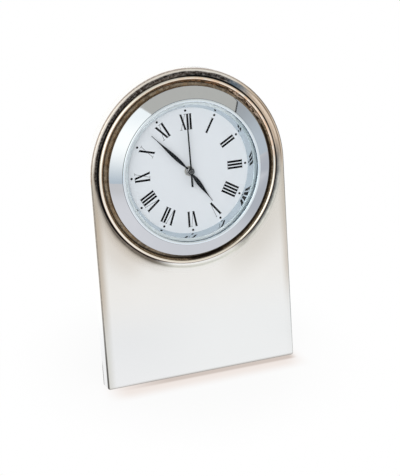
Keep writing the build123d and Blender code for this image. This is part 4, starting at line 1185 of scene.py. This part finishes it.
def rolled_metal(name, tone, roughness=0.3):
    """Rolled metal with streaks along the plate and small stains."""
    look = ClockFinish(name, metallic=1.0)
    streaks = look.noise(look.mapped(look.place, Scale=ROLL_STRETCH), *ROLL_STREAKS)
    stains = look.spread(look.noise(look.place, *ROLL_STAINS), *ROLL_STAIN_SPAN)
    look.set("Base Color", look.mix(stains, tone, shaded(tone, ROLL_SHADE)))
    look.set("Roughness", look.spread(streaks, *NOISE_RANGE, *(roughness * share for share in ROLL_POLISH)))
    look.bump(streaks, ROLL_RELIEF)
    return look.material


# Finishes of the pieces
brass = rolled_metal("hinge_brass", tone=(0.78, 0.58, 0.28))
steel = rolled_metal("bright_steel", tone=(0.66, 0.66, 0.67))
black_plastic = moulded("black_plastic", tone=(0.022, 0.022, 0.024), roughness=0.48)
pale_plastic = moulded("pale_plastic", tone=(0.62, 0.62, 0.58))
hands = hand_steel()
finishes = {
    "backing_board": stained_wood("board_wood"),
    "strut": stained_wood("strut_wood", STRUT_OPEN),
    "hinge_pin": steel,
    "crystal_gasket": moulded("grey_gasket", tone=(0.11, 0.14, 0.17), roughness=0.45),
    "dial": dial_white(),
    "grip_ring": moulded("soft_rubber", tone=(0.028, 0.028, 0.028), roughness=0.75),
    "movement_screws": steel,
    "stator": rolled_metal("motor_iron", tone=(0.40, 0.40, 0.41), roughness=0.4),
    "coil_core": rolled_metal("core_iron", tone=(0.42, 0.42, 0.43), roughness=0.4),
    "coil": rolled_metal("coil_copper", tone=(0.60, 0.27, 0.13), roughness=0.35),
    "circuit_board": moulded("circuit_green", tone=(0.03, 0.16, 0.07), roughness=0.35),
    "circuit_chip": moulded("chip_resin", tone=(0.015, 0.015, 0.016), roughness=0.3),
    "resonator_can": steel,
    "button_cell": rolled_metal("cell_steel", tone=(0.72, 0.72, 0.71), roughness=0.22),
    "contact_negative": rolled_metal("contact_brass", tone=(0.78, 0.66, 0.40), roughness=0.25),
    "contact_positive": rolled_metal("contact_strip", tone=(0.78, 0.66, 0.40), roughness=0.25),
    "cannon_pinion": brass,
    "rotor_magnet": moulded("magnet_dark", tone=(0.06, 0.06, 0.065), roughness=0.35),
    "second_wheel": tipped_wheel(),
}
for leaf in ("board", "strut"):
    finishes[f"hinge_{leaf}_leaf"] = brass
    finishes[f"hinge_{leaf}_screws"] = brass
for name in ("case_back", "setting_knob", "battery_cover"):
    finishes[name] = black_plastic
for housing in ("front_plate", "middle_plate", "rear_case"):
    finishes[f"movement_{housing}"] = pale_plastic
for wheel in ("hour", "center", "minute", "third", "step"):
    finishes[f"{wheel}_wheel"] = pale_plastic
for name in ("setting_stem", "rotor"):
    finishes[name] = pale_plastic
for hand in ("hour", "minute", "second"):
    finishes[f"{hand}_hand"] = hands
for name, material in finishes.items():
    nodes[name].data.materials.clear()
    nodes[name].data.materials.append(material)


def dress(piece, body, slot, material, *replaced):
    """Gives a piece its finish and the body that it moves with."""
    piece.data.materials.append(material)
    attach(piece, body)
    if replaced:
        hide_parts(*replaced)
    return piece


dress(front_shell(), "frame", "silver_plate", silver_plate(), "front_shell")
dress(bezel_ring(), "insert", "bezel_chrome", bezel_chrome(), "bezel")
dress(reflector_cone(), "insert", "bezel_chrome", reflector_mirror(), "reflector_ring")
glass = dress(watch_glass(), "insert", "clear_glass", clear_glass(), "crystal")
glass.visible_shadow = False
glass.visible_diffuse = False
ink = dial_ink()
dress(numerals(), "insert", "hand_black", ink)
dress(hour_dots(), "insert", "hand_black", ink)
collar = rolled_metal("collar_steel", tone=(0.62, 0.63, 0.65))
hour_collar = boss_collar("hour_collar", HOUR_COLLAR_RADIUS, HOUR_COLLAR_HALF, HOUR_BOSS_FRONT)
dress(hour_collar, "hour", "hand_black", collar)
minute_collar = boss_collar("minute_collar", MINUTE_COLLAR_RADIUS, MINUTE_COLLAR_HALF, MINUTE_BOSS_FRONT)
dress(minute_collar, "minute", "hand_black", collar)
dark_collar = rolled_metal("dark_collar_steel", tone=(0.20, 0.21, 0.22))
second_collar = boss_collar("second_collar", SECOND_COLLAR_RADIUS, SECOND_COLLAR_HALF, SECOND_BOSS_FRONT)
dress(second_collar, "second", "hand_black", dark_collar)

# Camera where the photograph was taken, in mm along the plate's axes from the middle of its foot
CAMERA_RIGHT = -186.67
CAMERA_UP = 193.52
CAMERA_OUT = 501.03
CAMERA_AZIMUTH = radians(21.89)
CAMERA_DROP = radians(23.6)
LENS = 106.79
SENSOR_WIDTH = 36.0
NEAREST_VIEW = 10.0


def aimed(item, place, direction):
    """Puts a camera or lamp at a place, facing a direction."""
    item.location = place
    item.rotation_mode = "QUATERNION"
    item.rotation_quaternion = Vector(direction).to_track_quat("-Z", "Y")


def photo_camera():
    """Camera that looks down on the clock from the left."""
    data = bpy.data.cameras.new("camera")
    data.lens = LENS
    data.sensor_width = SENSOR_WIDTH
    data.clip_start = NEAREST_VIEW * MM
    camera = in_scene("camera", data)
    level = cos(CAMERA_DROP)
    looking = (sin(CAMERA_AZIMUTH) * level, cos(CAMERA_AZIMUTH) * level, -sin(CAMERA_DROP))
    aimed(camera, to_shared([CAMERA_RIGHT, CAMERA_UP - DIAL_HEIGHT, CAMERA_OUT]), looking)
    bpy.context.scene.camera = camera


photo_camera()

# Table in metres, with its matt tone and the tones that the polished pieces mirror
TABLE_RADIUS = 1.1
TABLE_TONE = (0.88, 0.875, 0.87)
TABLE_ROUGHNESS = 0.2
TABLE_ACROSS = (-0.09, 0.02)
TABLE_TONES = ((1.02, 1.01, 1.0), (0.93, 0.927, 0.92))
TABLE_FAR_RIGHT = (0.25, 0.4)
TABLE_BESIDE_ACROSS = (0.05, 0.14)
TABLE_BESIDE_ALONG = (-0.12, -0.06)
TABLE_RIGHT_TONE = (0.66, 0.68, 0.70)
TABLE_NEAR = (-0.45, -0.12)
TABLE_NEAR_TONE = (0.86, 0.845, 0.82)
TABLE_BEHIND = (0.0, 0.05)
TABLE_BEHIND_TONE = (1.08, 1.08, 1.07)
TABLE_DIM_ALONG = (0.03, 0.13)
TABLE_DIM_ACROSS = (-0.04, 0.0)
TABLE_DIM_TONE = (0.55, 0.58, 0.62)

# Shadow at the clock's foot
FOOT_ALONG = (-0.022, -0.010)
FOOT_ALONG_SOFT = 0.004
FOOT_ACROSS = (-0.037, 0.040)
FOOT_ACROSS_SOFT = 0.006
FOOT_TONE = (0.90, 0.82, 0.78)
CONTACT_ALONG = (-0.0167, -0.010)
CONTACT_SOFT = 0.0009
CONTACT_LEFT = (-0.039, -0.012)
CONTACT_RIGHT = (0.038, 0.042)
CONTACT_TONE = (0.64, 0.55, 0.50)
WHITE_START = (0.03, 0.08)
WHITE_SHARES = (0.90, 1.0)


def mirrored_table(look, x, y):
    """Tone of the table in the polished pieces: paler at the left and close behind, greyer at the right
    and further behind."""
    tone = look.mix(look.spread(x, *TABLE_ACROSS), *TABLE_TONES)
    beside = look.product(look.spread(x, *TABLE_BESIDE_ACROSS), look.spread(y, *TABLE_BESIDE_ALONG))
    tone = look.mix(look.larger(look.spread(x, *TABLE_FAR_RIGHT), beside), tone, TABLE_RIGHT_TONE)
    tone = look.mix(look.fall(y, *TABLE_NEAR), tone, TABLE_NEAR_TONE)
    tone = look.mix(look.spread(y, *TABLE_BEHIND), tone, TABLE_BEHIND_TONE)
    dim = look.product(look.spread(y, *TABLE_DIM_ALONG), look.spread(x, *TABLE_DIM_ACROSS))
    return look.mix(dim, tone, TABLE_DIM_TONE)


def foot_shadow(look, x, y):
    """White with a pink shadow at the clock's foot and a brown line where the plate stands."""
    along = look.band(y, *FOOT_ALONG, FOOT_ALONG_SOFT)
    foot = look.product(along, look.band(x, *FOOT_ACROSS, FOOT_ACROSS_SOFT))
    contact = look.band(y, *CONTACT_ALONG, CONTACT_SOFT)
    contact = look.product(contact, look.spread(x, *CONTACT_LEFT))
    contact = look.product(contact, look.fall(x, *CONTACT_RIGHT))
    return look.mix(contact, look.mix(foot, WHITE, FOOT_TONE), CONTACT_TONE)


def table_finish():
    """Pale table that the camera sees as white, a little less so near the clock, and that the polished
    pieces mirror in tones of their own."""
    look = Finish("pale_table", tone=TABLE_TONE, roughness=TABLE_ROUGHNESS)
    away = look.vector_maths("LENGTH", {0: look.object_place()}, "Value")
    x, y, _ = look.parts(look.object_place())
    paths = look.node("ShaderNodeLightPath").outputs
    seen = paths["Is Camera Ray"]
    mirrored = look.larger(paths["Is Glossy Ray"], paths["Is Transmission Ray"])
    tone = look.mix(seen, mirrored_table(look, x, y), foot_shadow(look, x, y))
    shine = look.node("ShaderNodeEmission", {"Color": tone})
    white = look.spread(away, *WHITE_START, *WHITE_SHARES)
    share = look.larger(look.product(white, seen), mirrored)
    both = look.node("ShaderNodeMixShader", {0: share, 1: look.shader.outputs[0], 2: shine.outputs[0]})
    look.feed(look.tree.nodes["Material Output"].inputs["Surface"], both.outputs[0])
    return look.material


def table_top():
    """Round pale table top: one face inside a circle of points."""
    turn = np.linspace(0, 2 * pi, TABLE_SECTORS, endpoint=False)
    points = TABLE_RADIUS * np.column_stack([np.cos(turn), np.sin(turn), 0 * turn])
    mesh = bpy.data.meshes.new("table_top")
    mesh.from_pydata(points.tolist(), [], [list(range(len(points)))])
    table = in_scene("table_top", mesh)
    table.data.materials.append(table_finish())


table_top()

# Window lamp, in metres and watts
LAMP_PLACE = (-0.65, -0.95, 0.55)
LAMP_TARGET = (0.0, 0.0, 0.06)
LAMP_SIZE = 0.7
LAMP_POWER = 5.5


def window_lamp():
    """Square soft lamp at the front left that faces the clock."""
    data = bpy.data.lights.new("window_lamp", "AREA")
    data.size = LAMP_SIZE
    data.energy = LAMP_POWER
    lamp = in_scene("window_lamp", data)
    aimed(lamp, LAMP_PLACE, Vector(LAMP_TARGET) - Vector(LAMP_PLACE))
    lamp.visible_glossy = False


window_lamp()

# Surroundings: rise above the horizon and bearing from the front to the right, in degrees
CEILING_RISE = (52.0, 75.0)
WALL_LIGHTS = ((0.68, 0.67, 0.60), (0.50, 0.56, 0.60))
CORNER_RISE = (18.0, 31.0)
CORNER_BEARINGS = (56.8, 69.4)
CORNER_EDGE = (-0.3, 0.3)
SIDE_RISE = (2.0, 24.0)
SIDE_LIGHTS = ((0.70, 0.77, 0.80), (0.54, 0.57, 0.57))
SEAM_ACROSS = (-0.8, 0.8)
SEAM_ACROSS_SOFT = 0.2
SEAM_RISE = (10.0, 45.0)
SEAM_RISE_SOFT = 2.0
SEAM_LIGHT = (0.02, 0.02, 0.02)
CREAM_RISE = (3.0, 12.0)
CREAM_ACROSS = (-12.0, 50.0)
CREAM_SOFT = 4.0
CREAM_LIGHT = (0.85, 0.835, 0.80)
WINDOW_RISE = (-10.0, 22.0)
WINDOW_LIGHTS = ((0.60, 0.70, 0.76), (1.58, 1.59, 1.48))
WINDOW_HIGH = (26.0, 42.0)
WINDOW_HIGH_LIGHT = (1.36, 1.42, 1.36)
WINDOW_RIGHT_RISE = (38.0, 47.0)
WINDOW_RIGHT_BEARINGS = (-4.0, -18.0)
WINDOW_RIGHT_EDGE = (-0.4, 0.4)
WINDOW_LEFT_EDGE = (-64.4, -63.6)
WINDOW_TOP_EDGE = (52.0, 53.0)
BEHIND_START = (95.0, 110.0)
BEHIND_LIGHT = (1.05, 1.05, 1.04)
MATT_LIGHT = (0.64, 0.64, 0.64)


def studio_walls(look, bearing, rise):
    """Grey-green walls in front and above, a bluish wall at the right with a dark seam at its corner,
    and a cream band along the table's far edge."""
    walls = look.mix(look.spread(rise, *CEILING_RISE), *WALL_LIGHTS)
    corner = look.spread(rise, *CORNER_RISE, *CORNER_BEARINGS)
    corner = look.total(bearing, look.product(corner, -1.0))
    side = look.mix(look.spread(rise, *SIDE_RISE), *SIDE_LIGHTS)
    walls = look.mix(look.spread(corner, *CORNER_EDGE), walls, side)
    seam = look.band(corner, *SEAM_ACROSS, SEAM_ACROSS_SOFT)
    seam = look.product(seam, look.band(rise, *SEAM_RISE, SEAM_RISE_SOFT))
    walls = look.mix(seam, walls, SEAM_LIGHT)
    cream = look.band(bearing, *CREAM_ACROSS, CREAM_SOFT)
    cream = look.product(look.fall(rise, *CREAM_RISE), cream)
    return look.mix(cream, walls, CREAM_LIGHT)


def studio_window(look, bearing, rise, walls):
    """Bright window at the front left, with a slanting right side, in the walls."""
    light = look.mix(look.spread(rise, *WINDOW_RISE), *WINDOW_LIGHTS)
    light = look.mix(look.spread(rise, *WINDOW_HIGH), light, WINDOW_HIGH_LIGHT)
    right = look.spread(rise, *WINDOW_RIGHT_RISE, *WINDOW_RIGHT_BEARINGS)
    right = look.fall(look.total(bearing, look.product(right, -1.0)), *WINDOW_RIGHT_EDGE)
    opening = look.product(right, look.spread(bearing, *WINDOW_LEFT_EDGE))
    return look.mix(look.product(opening, look.fall(rise, *WINDOW_TOP_EDGE)), walls, light)


def studio():
    """Even pale light for matt surfaces, a room with a window and a white wall behind for polished ones,
    and plain white for the camera."""
    world = bpy.data.worlds.new("studio")
    bpy.context.scene.world = world
    world.use_nodes = True
    look = Shading(world.node_tree)
    x, y, z = look.parts(look.node("ShaderNodeTexCoord").outputs["Generated"])
    bearing = look.product(look.maths("ARCTAN2", x, look.product(y, -1.0)), HALF_TURN / pi)
    rise = look.product(look.maths("ARCSINE", z), HALF_TURN / pi)
    walls = studio_window(look, bearing, rise, studio_walls(look, bearing, rise))
    behind = look.spread(look.maths("ABSOLUTE", bearing), *BEHIND_START)
    walls = look.mix(behind, walls, BEHIND_LIGHT)
    paths = look.node("ShaderNodeLightPath").outputs
    shown = look.mix(paths["Is Diffuse Ray"], walls, MATT_LIGHT)
    shown = look.mix(paths["Is Camera Ray"], shown, WHITE)
    look.feed(look.tree.nodes["Background"].inputs["Color"], shown)


studio()

bpy.context.scene.view_settings.view_transform = "Standard"
